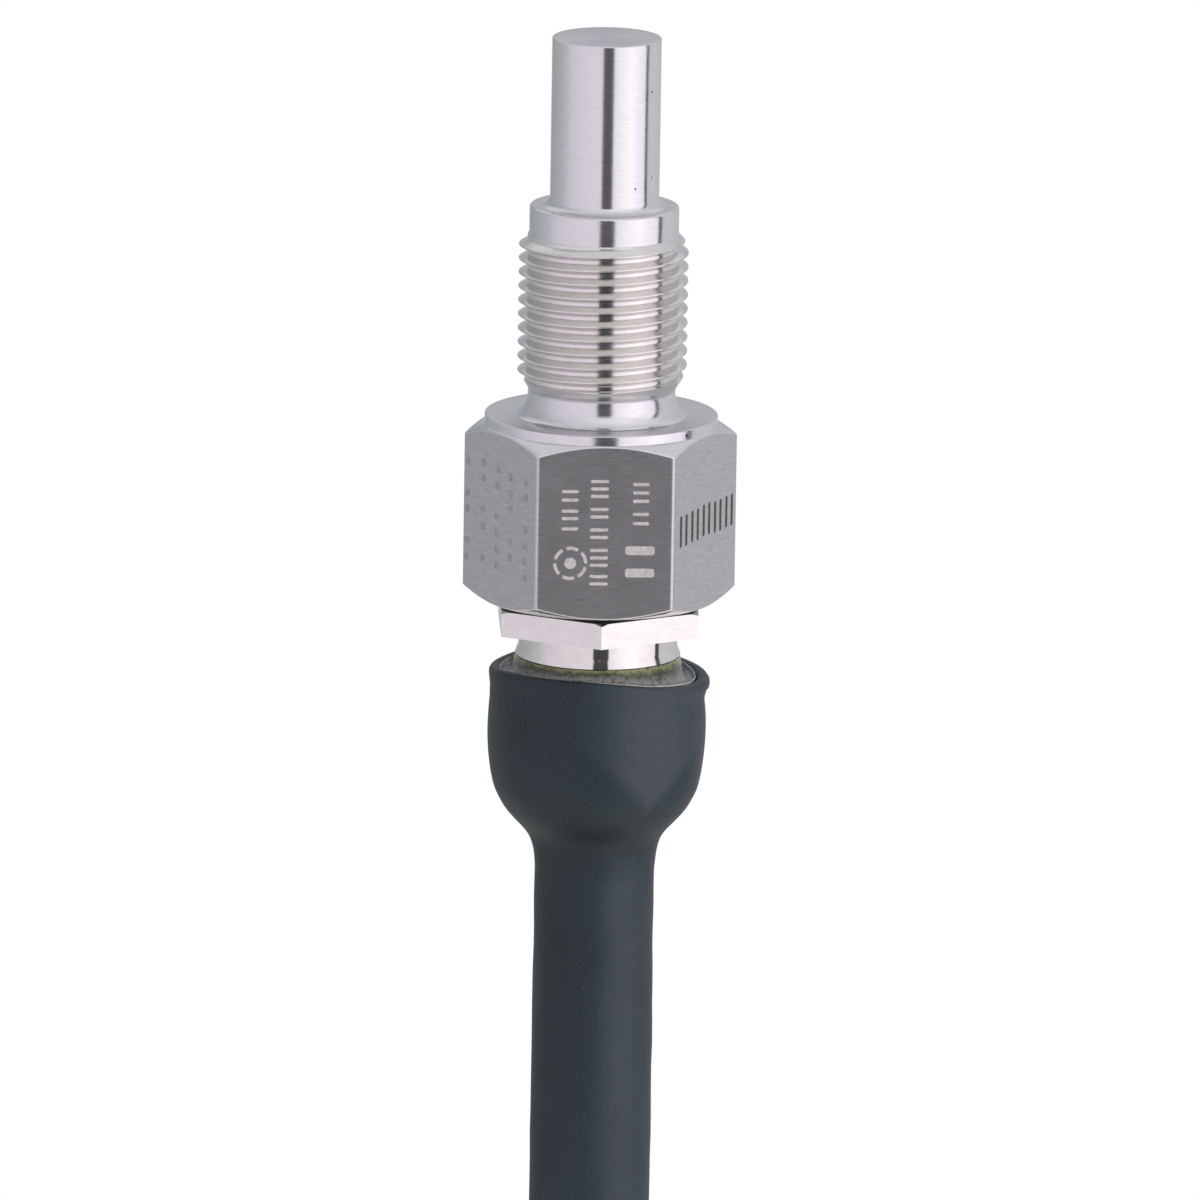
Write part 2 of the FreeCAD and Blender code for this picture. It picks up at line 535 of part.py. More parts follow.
def lead_route():
    """The cable's way from the sleeve's end over to the hank's outer turn."""
    side, bend = size("lead_side"), size("sleeve_end") - size("lead_drop")
    swing, foot = bend - size("lead_swing"), size("hank_top_z") - size("lead_overlap")
    return [(0, 0, size("sleeve_end")), (0, 0, bend), (side, 0, swing), (side, 0, foot)]


def rounded_route(points):
    """Straight runs joined by tangent arcs, each as large as its runs allow."""
    points = [FreeCAD.Vector(*p) for p in points]
    edges, here = [], points[0]
    for before, corner, after in zip(points, points[1:], points[2:]):
        come, leave = (corner - before), (after - corner)
        turn = come.getAngle(leave)
        reach = 0.45 * min(come.Length, leave.Length)
        print(f"cable arc radius {reach / math.tan(turn / 2):.1f} mm")
        come.normalize()
        leave.normalize()
        start, end = corner - come * reach, corner + leave * reach
        bisector = (leave - come).normalize()
        radius = reach / math.tan(turn / 2)
        middle = corner + bisector * (radius / math.cos(turn / 2) - radius)
        edges += [Part.LineSegment(here, start).toShape(),
                  Part.Arc(start, middle, end).toShape()]
        here = end
    edges.append(Part.LineSegment(here, points[-1]).toShape())
    return Part.Wire(edges)


def stadium(which):
    """The corners of the hank's outline, "in" or "out", with a round at each end."""
    reach, top, foot = f"hank_{which}_r", f"hank_{which}_top", f"hank_{which}_foot"
    return [(reach, "hank_foot_z"), (reach, "hank_top_z", reach, 1), (0, top, reach, 1),
            ("-" + reach, "hank_top_z"), ("-" + reach, "hank_foot_z", reach, 1),
            (0, foot, reach, 1)]


def cable_hank():
    """The stored length: one closed ring in the outer shape of the tied turns."""
    body = new_body("cable_hank")
    sketch = new_sketch(body, "hank_outline", "XZ_Plane")
    draw_loop(sketch, stadium("out"))
    draw_loop(sketch, stadium("in"))
    pad = body.newObject("PartDesign::Pad", "hank_turns")
    pad.Profile = sketch
    pad.Midplane = True
    pad.setExpression("Length", "dims.hank_deep")
    doc.recompute()
    edges = [f"Edge{i}" for i, e in enumerate(pad.Shape.Edges, start=1)
             if abs(abs(e.CenterOfMass.y) - size("hank_half_deep")) < 1e-6]
    softened = body.newObject("PartDesign::Fillet", "hank_softening")
    softened.Base = (pad, edges)
    softened.setExpression("Radius", "dims.hank_round")
    doc.recompute()
    return body


def rounded_rectangle(x, flat_x, y, flat_y, radius):
    """The corners of a rectangle with arcs of a named radius at its four corners."""
    return [
        (flat_x, "-" + y, radius, 1), (x, "-" + flat_y),
        (x, flat_y, radius, 1), (flat_x, y),
        ("-" + flat_x, y, radius, 1), ("-" + x, flat_y),
        ("-" + x, "-" + flat_y, radius, 1), ("-" + flat_x, "-" + y),
    ]


def hank_tie():
    """The strap round the hank's waist."""
    def draw(sketch):
        for side in ("in", "out"):
            draw_loop(sketch, rounded_rectangle(
                f"tie_{side}_x", f"tie_{side}_flat_x", f"tie_{side}_y",
                f"tie_{side}_flat_y", f"tie_{side}_round"))

    body = new_body("hank_tie")
    extruded(body, "tie_band", "Pad", "tie_height", "tie_foot", draw)
    return body


def cable_pieces():
    """The cable in its gland, its free stretch, its hank, and its bare end."""
    entry = rod("cable_entry", "dims.cable_r", "dims.cable_height", "0", "0", "dims.sleeve_end")
    hank = cable_hank()
    route = doc.addObject("Part::Feature", "cable_lead_route")
    route.Shape = rounded_route(lead_route())
    section = doc.addObject("Part::Circle", "cable_section")
    bind(section, Radius="dims.cable_r", z="dims.sleeve_end")
    tube = doc.addObject("Part::Sweep", "cable_lead_tube")
    tube.Sections = [section]
    tube.Spine = (route, [f"Edge{n + 1}" for n in range(len(route.Shape.Edges))])
    tube.Solid = True
    doc.recompute()
    expected = math.pi * size("cable_r") ** 2 * route.Shape.Length
    print(f"cable tube volume {tube.Shape.Volume:.1f}, section times length {expected:.1f}")
    lead = cut_away("cable_lead", tube, [hank])
    tail_foot = "dims.tail_foot"
    tail = rod("cable_tail", "dims.cable_r", "dims.tail_length",
               "dims.tail_x", "-dims.tail_y", tail_foot)
    pieces = [entry, hank, lead, hank_tie(), tail]
    spread = "dims.cable_r / 3"
    corners = [(-1, -1), (1, -1), (-1, 1), (1, 1)]
    for n, (side, face) in enumerate(corners, start=1):
        place = (f"dims.tail_x + {side} * {spread}", f"{face} * {spread} - dims.tail_y")
        core_foot = f"{tail_foot} - dims.bare_core_length"
        pieces.append(rod(f"end_core_{n}", "dims.bare_core_dia / 2",
                          "dims.bare_core_length", *place, core_foot))
        pieces.append(rod(f"end_ferrule_{n}", "dims.ferrule_dia / 2", "dims.ferrule_length",
                          *place, f"{core_foot} - dims.ferrule_length"))
    return pieces


def check(pieces):
    """Stop if any object failed or any piece isn't one valid closed solid."""
    for item in doc.Objects:
        if "Invalid" in item.State or "Error" in item.State:
            raise ValueError(f"{item.Label} failed: {item.State}")
    for piece in pieces:
        shape = piece.Shape
        if shape.isNull() or not shape.isValid() or len(shape.Solids) != 1:
            raise ValueError(f"{piece.Label} isn't one valid solid")


fill_sheet()
PIECES = [
    sensor_body(),
    *sensing_elements(),
    *sensor_board(),
    *cores_and_potting(),
    ring("body_gasket", "gasket_bore_r", "gasket_r", "gasket_foot", "hex_base"),
    gland_body(),
    ring("gland_seal", "cable_way_r", "seal_r", "seal_foot", "seal_top"),
    gland_cage(),
    gland_nut(),
    hot_melt_ring(),
    heat_shrink_sleeve(),
    *cable_pieces(),
]
doc.recompute()
check(PIECES)
os.makedirs("parts", exist_ok=True)
for piece in PIECES:
    piece.Shape.exportStep(f"parts/{piece.Label}.step")
print(len(PIECES), "pieces written")
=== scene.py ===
import math

import bmesh
import bpy
from mathutils import Matrix, Vector, noise


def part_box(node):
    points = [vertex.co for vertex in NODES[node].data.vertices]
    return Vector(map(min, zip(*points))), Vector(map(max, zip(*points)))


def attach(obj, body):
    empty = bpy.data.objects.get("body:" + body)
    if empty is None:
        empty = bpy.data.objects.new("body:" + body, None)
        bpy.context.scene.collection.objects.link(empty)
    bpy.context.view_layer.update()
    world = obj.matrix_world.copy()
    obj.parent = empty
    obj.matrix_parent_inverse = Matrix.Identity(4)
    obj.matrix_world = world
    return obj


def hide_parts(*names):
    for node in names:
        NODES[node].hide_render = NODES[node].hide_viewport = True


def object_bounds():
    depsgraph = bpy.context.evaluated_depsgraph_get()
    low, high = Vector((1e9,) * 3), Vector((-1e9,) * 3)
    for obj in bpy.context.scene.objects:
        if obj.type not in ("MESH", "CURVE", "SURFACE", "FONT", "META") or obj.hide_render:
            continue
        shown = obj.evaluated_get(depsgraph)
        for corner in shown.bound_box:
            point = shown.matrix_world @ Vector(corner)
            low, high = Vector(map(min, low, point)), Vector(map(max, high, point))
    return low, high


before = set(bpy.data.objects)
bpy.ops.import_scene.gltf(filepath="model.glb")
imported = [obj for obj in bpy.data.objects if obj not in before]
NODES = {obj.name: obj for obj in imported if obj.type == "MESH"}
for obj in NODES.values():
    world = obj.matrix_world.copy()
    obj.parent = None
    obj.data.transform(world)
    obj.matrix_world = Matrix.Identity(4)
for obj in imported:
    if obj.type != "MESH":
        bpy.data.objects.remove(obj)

# The looks of the screw-in thermal flow sensor. Metres, in the part's own frame: the
# origin in the seat on top of the hexagon, +Z along the probe to its tip.

CAD_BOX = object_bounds()
MM = 0.001


# ---------------------------------------------------------------- camera

CAMERA_TURN = math.radians(-2.66)     # the camera stands a little left of the front flat
CAMERA_RISE = math.radians(12.40)
CAMERA_LEAN = math.radians(0.89)      # the probe's tip leans right in the view
CAMERA_DISTANCE = 2.091
CAMERA_LENS = 593.75
AIM_RIGHT, AIM_HEIGHT = 0.17 * MM, -20.17 * MM

TOWARD_CAMERA = Vector((math.sin(CAMERA_TURN), -math.cos(CAMERA_TURN), 0))
CAMERA_RIGHT = Vector((math.cos(CAMERA_TURN), math.sin(CAMERA_TURN), 0))


def placed(name, data):
    """A new object for some data, linked into the scene."""
    item = bpy.data.objects.new(name, data)
    bpy.context.scene.collection.objects.link(item)
    return item


def make_camera():
    """A long lens at the photograph's angle, aimed at the middle of what it shows."""
    data = bpy.data.cameras.new("camera")
    data.lens, data.sensor_width = CAMERA_LENS, 36
    data.clip_start, data.clip_end = 0.05, 50
    camera = placed("camera", data)
    aim = CAMERA_RIGHT * AIM_RIGHT + Vector((0, 0, AIM_HEIGHT))
    back = TOWARD_CAMERA * math.cos(CAMERA_RISE) + Vector((0, 0, math.sin(CAMERA_RISE)))
    turn = back.to_track_quat("Z", "Y").to_matrix() @ Matrix.Rotation(CAMERA_LEAN, 3, "Z")
    camera.matrix_world = Matrix.Translation(aim + back * CAMERA_DISTANCE) @ turn.to_4x4()
    bpy.context.scene.camera = camera


make_camera()


# ---------------------------------------------------------------- materials


def new_material(name, **sockets):
    """A node material, with constants set straight on the shader's own sockets."""
    material = bpy.data.materials.new(name)
    material.use_nodes = True
    shader = material.node_tree.nodes["Principled BSDF"]
    for socket, value in sockets.items():
        shader.inputs[socket.replace("_", " ")].default_value = value
    return material, material.node_tree, shader


def add(tree, kind, inputs=(), **settings):
    """A node with its settings, and its inputs given as (name, value or socket)."""
    node = tree.nodes.new(kind)
    for name, value in settings.items():
        setattr(node, name, value)
    for name, value in inputs:
        if isinstance(value, bpy.types.NodeSocket):
            tree.links.new(value, node.inputs[name])
        else:
            node.inputs[name].default_value = value
    return node


def maths(tree, operation, *values, **settings):
    """The result of a math node on up to three values."""
    node = add(tree, "ShaderNodeMath", list(enumerate(values)), operation=operation,
               **settings)
    return node.outputs[0]


def place(tree, scale):
    """The point on the object, in units that the scale gives along X, Y and Z."""
    where = add(tree, "ShaderNodeTexCoord")
    mapping = add(tree, "ShaderNodeMapping", [("Vector", where.outputs["Object"])])
    mapping.inputs["Scale"].default_value = scale
    return mapping.outputs["Vector"]


def grain(tree, scale, detail=2.0, roughness=0.5):
    """Noise between 0 and 1 with its own scale along X, Y and Z."""
    node = add(tree, "ShaderNodeTexNoise",
               [("Vector", place(tree, scale)), ("Scale", 1.0),
                ("Detail", detail), ("Roughness", roughness)])
    return node.outputs["Fac"]


def spread(tree, value, low, high, start=0.3, end=0.7):
    """A value remapped from start..end to low..high."""
    node = add(tree, "ShaderNodeMapRange",
               [("Value", value), ("From Min", start), ("From Max", end),
                ("To Min", low), ("To Max", high)])
    return node.outputs["Result"]


def blend_colour(tree, value, first, second, start=0.3, end=0.7):
    """A colour that goes from the first to the second as a value rises."""
    ramp = add(tree, "ShaderNodeValToRGB", [("Fac", value)])
    ramp.color_ramp.elements[0].position, ramp.color_ramp.elements[1].position = start, end
    ramp.color_ramp.elements[0].color = (*first, 1)
    ramp.color_ramp.elements[1].color = (*second, 1)
    return ramp.outputs["Color"]


def plain_colour(tree, colour):
    """One colour, as a socket."""
    node = add(tree, "ShaderNodeRGB")
    node.outputs[0].default_value = (*colour, 1)
    return node.outputs[0]


def mixed_colour(tree, share, first, second, **settings):
    """One colour going over to another by a share."""
    node = add(tree, "ShaderNodeMix", [("Factor", share)], data_type="RGBA", **settings)
    tree.links.new(first, node.inputs["A"])
    tree.links.new(second, node.inputs["B"])
    return node.outputs["Result"]


def ramp_stops(ramp, stops):
    """Fill a colour ramp with (position, colour)."""
    while len(ramp.elements) > 1:
        ramp.elements.remove(ramp.elements[-1])
    ramp.elements[0].position, ramp.elements[0].color = stops[0][0], (*stops[0][1], 1)
    for position, colour in stops[1:]:
        ramp.elements.new(position).color = (*colour, 1)


def roughen(tree, shader, height, distance):
    """Bump on a shader, its depth in metres."""
    bump = add(tree, "ShaderNodeBump",
               [("Height", height), ("Distance", distance), ("Strength", 1.0)])
    tree.links.new(bump.outputs["Normal"], shader.inputs["Normal"])


def metal(name, dark, light, scale, rough, groove, metallic=1.0, **sockets):
    """Bare or plated metal: tooling marks by a stretched grain, in colour, gloss, depth."""
    material, tree, shader = new_material(name, Metallic=metallic, **sockets)
    marks = grain(tree, scale, detail=3.0, roughness=0.65)
    patches = grain(tree, (260, 260, 190))
    both = maths(tree, "MULTIPLY", marks, patches)
    tree.links.new(blend_colour(tree, marks, dark, light), shader.inputs["Base Color"])
    tree.links.new(spread(tree, both, *rough, 0.1, 0.45), shader.inputs["Roughness"])
    roughen(tree, shader, marks, groove)
    return material


def pit(material, places):
    """Small dark pits in a metal, each given by its middle and radius in millimetres."""
    tree = material.node_tree
    socket = tree.nodes["Principled BSDF"].inputs["Base Color"]
    colour = socket.links[0].from_socket
    where = add(tree, "ShaderNodeTexCoord")
    shade = plain_colour(tree, (0.09, 0.085, 0.09))
    for x, y, z, radius in places:
        away = add(tree, "ShaderNodeVectorMath",
                   [(0, where.outputs["Object"]), (1, (x * MM, y * MM, z * MM))],
                   operation="DISTANCE")
        share = spread(tree, away.outputs["Value"], 1, 0, 0.6 * radius * MM, radius * MM)
        colour = mixed_colour(tree, share, colour, shade)
    tree.links.new(colour, socket)


def plastic(name, dark, light, scale, rough, depth, **sockets):
    """Moulded or extruded plastic or rubber: a fine grain in colour, gloss and depth."""
    material, tree, shader = new_material(name, **sockets)
    speckle = grain(tree, scale, detail=3.0, roughness=0.6)
    tree.links.new(blend_colour(tree, speckle, dark, light), shader.inputs["Base Color"])
    tree.links.new(spread(tree, speckle, *rough), shader.inputs["Roughness"])
    roughen(tree, shader, speckle, depth)
    return material


STEEL_TURNED = metal("steel_turned", (0.67, 0.67, 0.67), (0.74, 0.74, 0.745),
                     (800, 800, 6500), (0.09, 0.18), 8.0e-6, metallic=0.94)
pit(STEEL_TURNED, [(4.64, -3.39, 35.17, 0.16), (3.00, -4.91, 25.05, 0.15),
                   (4.75, -3.24, 26.0, 0.13), (8.60, -8.80, -0.50, 0.24)])
STEEL_FACED = metal("steel_faced", (0.56, 0.57, 0.58), (0.66, 0.66, 0.67),
                    (2600, 2600, 900), (0.26, 0.38), 3.0e-6, Anisotropic=0.7)
STEEL_MILLED = metal("steel_milled", (0.47, 0.47, 0.465), (0.63, 0.63, 0.63),
                     (650, 650, 9000), (0.27, 0.30), 2.0e-6)
STEEL_THREAD = metal("steel_thread", (0.69, 0.68, 0.66), (0.77, 0.76, 0.74),
                     (900, 900, 6500), (0.10, 0.20), 3.0e-6)
MARK_LIGHT = metal("etched_light", (0.56, 0.55, 0.54), (0.76, 0.75, 0.74),
                   (2600, 2600, 2600), (0.55, 0.70), 6.0e-6)
MARK_FAINT = metal("etched_faint", (0.34, 0.34, 0.32), (0.56, 0.555, 0.53),
                   (1900, 1900, 1900), (0.30, 0.46), 6.0e-6)
MARK_DARK = metal("annealed_dark", (0.055, 0.055, 0.05), (0.16, 0.16, 0.15),
                  (2200, 2200, 2200), (0.40, 0.55), 4.0e-6)
NICKEL = metal("nickel_plate", (0.70, 0.695, 0.655), (0.78, 0.77, 0.73),
               (700, 700, 1500), (0.04, 0.09), 2.0e-6)
TINNED = metal("tinned_metal", (0.70, 0.70, 0.69), (0.80, 0.80, 0.79),
               (2500, 2500, 2500), (0.25, 0.40), 2.0e-6)
SEAL_RUBBER = plastic("seal_rubber", (0.012, 0.012, 0.012), (0.03, 0.03, 0.03),
                      (2500, 2500, 2500), (0.5, 0.7), 6.0e-6)
JACKET = plastic("cable_jacket", (0.012, 0.013, 0.015), (0.026, 0.027, 0.03),
                 (2200, 2200, 2200), (0.36, 0.52), 8.0e-6)
STRAP = plastic("strap_weave", (0.012, 0.012, 0.014), (0.05, 0.05, 0.055),
                (1800, 1800, 5200), (0.75, 0.95), 6.0e-5)
CERAMIC = plastic("fired_ceramic", (0.74, 0.73, 0.70), (0.84, 0.83, 0.80),
                  (4000, 4000, 4000), (0.3, 0.5), 3.0e-6)
NATURAL = plastic("natural_plastic", (0.62, 0.60, 0.54), (0.74, 0.72, 0.66),
                  (1500, 1500, 1500), (0.45, 0.6), 5.0e-6)
EPOXY = plastic("potting_epoxy", (0.010, 0.010, 0.012), (0.022, 0.022, 0.025),
                (900, 900, 900), (0.1, 0.2), 8.0e-6)
BOARD = plastic("circuit_board", (0.008, 0.10, 0.035), (0.015, 0.15, 0.05),
                (1200, 1200, 1200), (0.25, 0.4), 4.0e-6)
PASTE = plastic("thermal_paste", (0.60, 0.60, 0.59), (0.75, 0.75, 0.73),
                (1800, 1800, 1800), (0.5, 0.7), 2.0e-5)
CORE = {
    colour: plastic(f"core_{colour}", dark, light, (3000, 3000, 900), (0.35, 0.5), 3.0e-6)
    for colour, dark, light in (
        ("brown", (0.10, 0.04, 0.015), (0.15, 0.06, 0.025)),
        ("white", (0.62, 0.61, 0.58), (0.76, 0.75, 0.72)),
        ("blue", (0.010, 0.05, 0.26), (0.018, 0.08, 0.36)),
        ("black", (0.010, 0.010, 0.010), (0.022, 0.022, 0.022)),
    )
}


# The sleeve's painted highlight: the way it faces, and the point under the belly to which
# it narrows, where the nut's corner lifts the sleeve. Its edge rises with each radian past
# the point.
HIGHLIGHT_WAY = (0.48, -0.877, 0)
POINT_TURN, POINT_HEIGHT = math.radians(-61), -0.0418
POINT_RISE, POINT_EDGE = 0.0105, 0.0022
TUBE_HIGHLIGHT, TUBE_HEIGHT, TUBE_EDGE = 0.62, -0.050, 0.004


def sleeve_painted_highlight(tree, patches):
    """How strong the painted highlight on the sleeve is: on one side of the belly down to a
    point, and on the tube.
    """
    where = add(tree, "ShaderNodeTexCoord").outputs["Object"]
    x, y, z = add(tree, "ShaderNodeSeparateXYZ", [("Vector", where)]).outputs
    past = maths(tree, "SUBTRACT", maths(tree, "ARCTAN2", y, x), POINT_TURN)
    over = maths(tree, "MULTIPLY_ADD", maths(tree, "ABSOLUTE", past), -POINT_RISE, z)
    belly = spread(tree, over, 0, 1, POINT_HEIGHT, POINT_HEIGHT + POINT_EDGE)
    tube = spread(tree, z, TUBE_HIGHLIGHT, 0, TUBE_HEIGHT, TUBE_HEIGHT + TUBE_EDGE)
    flat = add(tree, "ShaderNodeVectorMath", [(0, where), (1, (1, 1, 0))],
               operation="MULTIPLY")
    way = add(tree, "ShaderNodeVectorMath", [(0, flat.outputs["Vector"])],
              operation="NORMALIZE")
    toward = add(tree, "ShaderNodeVectorMath", [(0, way.outputs["Vector"]), (1, HIGHLIGHT_WAY)],
                 operation="DOT_PRODUCT")
    side = maths(tree, "MULTIPLY", spread(tree, toward.outputs["Value"], 0, 1, 0.74, 1.0),
                 spread(tree, patches, 0.85, 1.3))
    return maths(tree, "MULTIPLY", side, maths(tree, "ADD", belly, tube), use_clamp=True)


def sleeve_material():
    """Shrunk polyolefin: blue-black and speckled, with a painted highlight and specks of
    dust.
    """
    material, tree, shader = new_material("shrunk_sleeve", Specular_IOR_Level=0.45)
    speckle = grain(tree, (3800, 3800, 3800), roughness=0.7)
    patches = grain(tree, (110, 110, 85))
    tone = maths(tree, "MULTIPLY_ADD", speckle, 0.45, spread(tree, patches, 0, 0.55))
    colour = blend_colour(tree, tone, (0.000, 0.010, 0.014), (0.005, 0.021, 0.027),
                          0.15, 0.75)
    # The painted highlight: a lighter blue-grey mixed over the side that faces the light at
    # the right.
    highlighted = mixed_colour(tree, sleeve_painted_highlight(tree, patches), colour,
                          plain_colour(tree, (0.030, 0.044, 0.052)))
    specks = spread(tree, grain(tree, (5200, 5200, 5200), detail=1.0), 0, 0.6, 0.66, 0.76)
    dusty = mixed_colour(tree, specks, highlighted, plain_colour(tree, (0.075, 0.085, 0.088)))
    tree.links.new(dusty, shader.inputs["Base Color"])
    tree.links.new(spread(tree, speckle, 0.42, 0.54), shader.inputs["Roughness"])
    roughen(tree, shader, speckle, 9.0e-6)
    return material


# The radii between which the glue's colour runs, painted shade and highlight included, and
# how far its clouds shift them.
MELT_SPAN, MELT_SHIFT = (0.0088, 0.0108), 0.0005


def melt_material():
    """Hot-melt glue: olive where it climbs the neck, then grey with painted shade in its
    hollow, and a painted highlight as its pale outer edge.
    """
    material, tree, shader = new_material("hot_melt", Roughness=0.14)
    where = add(tree, "ShaderNodeTexCoord").outputs["Object"]
    x, y, _ = add(tree, "ShaderNodeSeparateXYZ", [("Vector", where)]).outputs
    flat = add(tree, "ShaderNodeCombineXYZ", [("X", x), ("Y", y)]).outputs[0]
    out = add(tree, "ShaderNodeVectorMath", [(0, flat)], operation="LENGTH").outputs["Value"]
    clouds = grain(tree, (650, 650, 650), detail=4.0, roughness=0.65)
    shifted = maths(tree, "MULTIPLY_ADD", clouds, MELT_SHIFT, out)
    ramp = add(tree, "ShaderNodeValToRGB", [("Fac", spread(tree, shifted, 0, 1, *MELT_SPAN))])
    # Olive at the neck, then dark bands of painted shade in the hollow under the sleeve's
    # lip, and a pale last band that is a painted highlight.
    ramp_stops(ramp.color_ramp, [(0.00, (0.26, 0.265, 0.15)), (0.09, (0.24, 0.25, 0.11)),
                                 (0.14, (0.12, 0.13, 0.045)), (0.18, (0.045, 0.05, 0.03)),
                                 (0.23, (0.14, 0.14, 0.12)), (0.32, (0.22, 0.22, 0.215)),
                                 (0.50, (0.12, 0.12, 0.12)), (0.78, (0.07, 0.07, 0.07)),
                                 (0.85, (0.20, 0.20, 0.195)), (0.92, (0.55, 0.55, 0.54))])
    specks = spread(tree, grain(tree, (2600, 2600, 2600)), 0.35, 1.0, 0.34, 0.46)
    specked = mixed_colour(tree, 1.0, ramp.outputs["Color"], specks, blend_type="MULTIPLY")
    tree.links.new(specked, shader.inputs["Base Color"])
    roughen(tree, shader, clouds, 1.0e-4)
    return material


SLEEVE = sleeve_material()
MELT = melt_material()

# The carried-over solids: each gets its finish by the start of its name.
NODE_FINISH = [
    ("sensor_body", STEEL_TURNED), ("gland_body", NICKEL), ("gland_nut", NICKEL),
    ("body_gasket", SEAL_RUBBER), ("gland_seal", SEAL_RUBBER), ("gland_cage", NATURAL),
    ("hot_melt_ring", MELT), ("heat_shrink_sleeve", SLEEVE), ("cable_", JACKET),
    ("hank_tie", STRAP), ("core_brown", CORE["brown"]), ("core_white", CORE["white"]),
    ("core_blue", CORE["blue"]), ("core_black", CORE["black"]),
    ("end_core_1", CORE["brown"]), ("end_core_2", CORE["white"]),
    ("end_core_3", CORE["blue"]), ("end_core_4", CORE["black"]), ("end_ferrule", TINNED),
    ("potting_plug", EPOXY), ("board_carrier", NATURAL), ("element_carrier", NATURAL),
    ("sensor_board", BOARD), ("limiting_resistor", SEAL_RUBBER), ("thermal_paste", PASTE),
]


def finish_nodes():
    """Give each carried-over solid its material: the leads are tinned, the rest by name."""
    for name, node in NODES.items():
        found = [m for start, m in NODE_FINISH if name.startswith(start)]
        choice = TINNED if "_lead_" in name else (found[0] if found else CERAMIC)
        node.data.materials.clear()
        node.data.materials.append(choice)


finish_nodes()


# ---------------------------------------------------------------- mesh helpers


def new_piece(name, mesh, materials):
    """An object made from a mesh, riding on the part, with its finish."""
    piece = placed(name, mesh)
    for material in materials:
        mesh.materials.append(material)
    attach(piece, "root")
    return piece


def finished_mesh(name, made):
    """A mesh from a bmesh, which is freed."""
    mesh = bpy.data.meshes.new(name)
    made.to_mesh(mesh)
    made.free()
    return mesh


def ease(t):
    """A smooth step from 0 to 1."""
    t = min(max(t, 0.0), 1.0)
    return t * t * (3 - 2 * t)


def even_turn(sides):
    """Equal angles round the axis."""
    return [math.tau * k / sides for k in range(sides)]


def polar(r, angle, z):
    """The point at a radius, an angle and a height."""
    return (r * math.cos(angle), r * math.sin(angle), z)


SHARP_EDGE = math.radians(40)
MERGE, SLIVER = 2e-7, 1e-8            # distances in metres that count as nothing


def grid_mesh(name, rows, kinds=None, meets=None):
    """A mesh from rings of points in millimetres, each joined to the next. Kinds gives the
    material below each ring. Where a ring is one turn of a helix, meets gives the ring
    that its end runs into."""
    made = bmesh.new()
    verts = [[made.verts.new(Vector(p) * MM) for p in row] for row in rows]
    last = len(rows[0]) - 1
    for i in range(len(rows) - 1):
        for j in range(last + 1):
            if j < last:
                ahead, below = verts[i][j + 1], verts[i + 1][j + 1]
            else:
                ahead = verts[meets[i] if meets else i][0]
                below = verts[meets[i + 1] if meets else i + 1][0]
            corners = dict.fromkeys((verts[i][j], ahead, below, verts[i + 1][j]))
            made.faces.new(list(corners)).material_index = kinds[i] if kinds else 0
    bmesh.ops.remove_doubles(made, verts=made.verts, dist=MERGE)
    bmesh.ops.dissolve_degenerate(made, dist=SLIVER, edges=made.edges)
    bmesh.ops.recalc_face_normals(made, faces=made.faces)
    for face in made.faces:
        face.smooth = True
    for edge in made.edges:
        if len(edge.link_faces) == 2 and edge.calc_face_angle(0) > SHARP_EDGE:
            edge.smooth = False
    return finished_mesh(name, made)


# ---------------------------------------------------------------- cord

CORD_RADIUS = 3.5 * MM

# The hank's folds: two columns of turns, three layers deep, about two centres.
FOLD_INNER, FOLD_OUTER, LAYER = 21.4, 28.2, 7.1
FOLD_TOP, FOLD_FOOT = -170.0, -275.0
TIE_MIDDLE = (FOLD_TOP + FOLD_FOOT) / 2
TURNS = 5
TURN_POINTS, TOP_POINTS = 40, 15      # control points of a turn: round below, over the top

# Where each turn lies: its fold radius and its layer's depth.
TURN_PLACES = [(FOLD_OUTER, 0.0), (FOLD_OUTER, LAYER), (FOLD_INNER, LAYER),
               (FOLD_INNER, 0.0), (FOLD_INNER, -LAYER), (FOLD_OUTER, -LAYER)]

# The part of the lower path, from the tie round to the tie, in which each turn changes
# place. The later turns move first, so that no two cross.
CHANGE_SPANS = [(0.76, 1.0), (0.50, 0.76), (0.25, 0.50), (0.25, 0.50), (0.0, 0.25)]


def turn_points(number):
    """One turn from the tie's height on the right, round below, and over the top."""
    (r0, y0), (r1, y1) = TURN_PLACES[number], TURN_PLACES[number + 1]
    low, high = CHANGE_SPANS[number]
    drop = TIE_MIDDLE - FOLD_FOOT
    points = []
    fold = math.pi * FOLD_INNER
    for share in [k / TURN_POINTS for k in range(TURN_POINTS)]:
        moved = ease((share - low) / (high - low))
        radius, y = r0 + (r1 - r0) * moved, y0 + (y1 - y0) * moved
        way = share * (2 * drop + fold)
        if way < drop:
            points.append((radius, y, TIE_MIDDLE - way))
        elif way < drop + fold:
            angle = (way - drop) / FOLD_INNER
            points.append((radius * math.cos(angle), y, FOLD_FOOT - radius * math.sin(angle)))
        else:
            points.append((-radius, y, FOLD_FOOT + way - drop - fold))
    rise = FOLD_TOP - TIE_MIDDLE
    points += [(-r1, y1, TIE_MIDDLE + rise * k / 3) for k in range(3)]
    points += [(-r1 * math.cos(a), y1, FOLD_TOP + r1 * math.sin(a))
               for a in [math.pi * k / TOP_POINTS for k in range(TOP_POINTS + 1)]]
    points += [(r1, y1, FOLD_TOP - rise * k / 3) for k in (1, 2)]
    return points


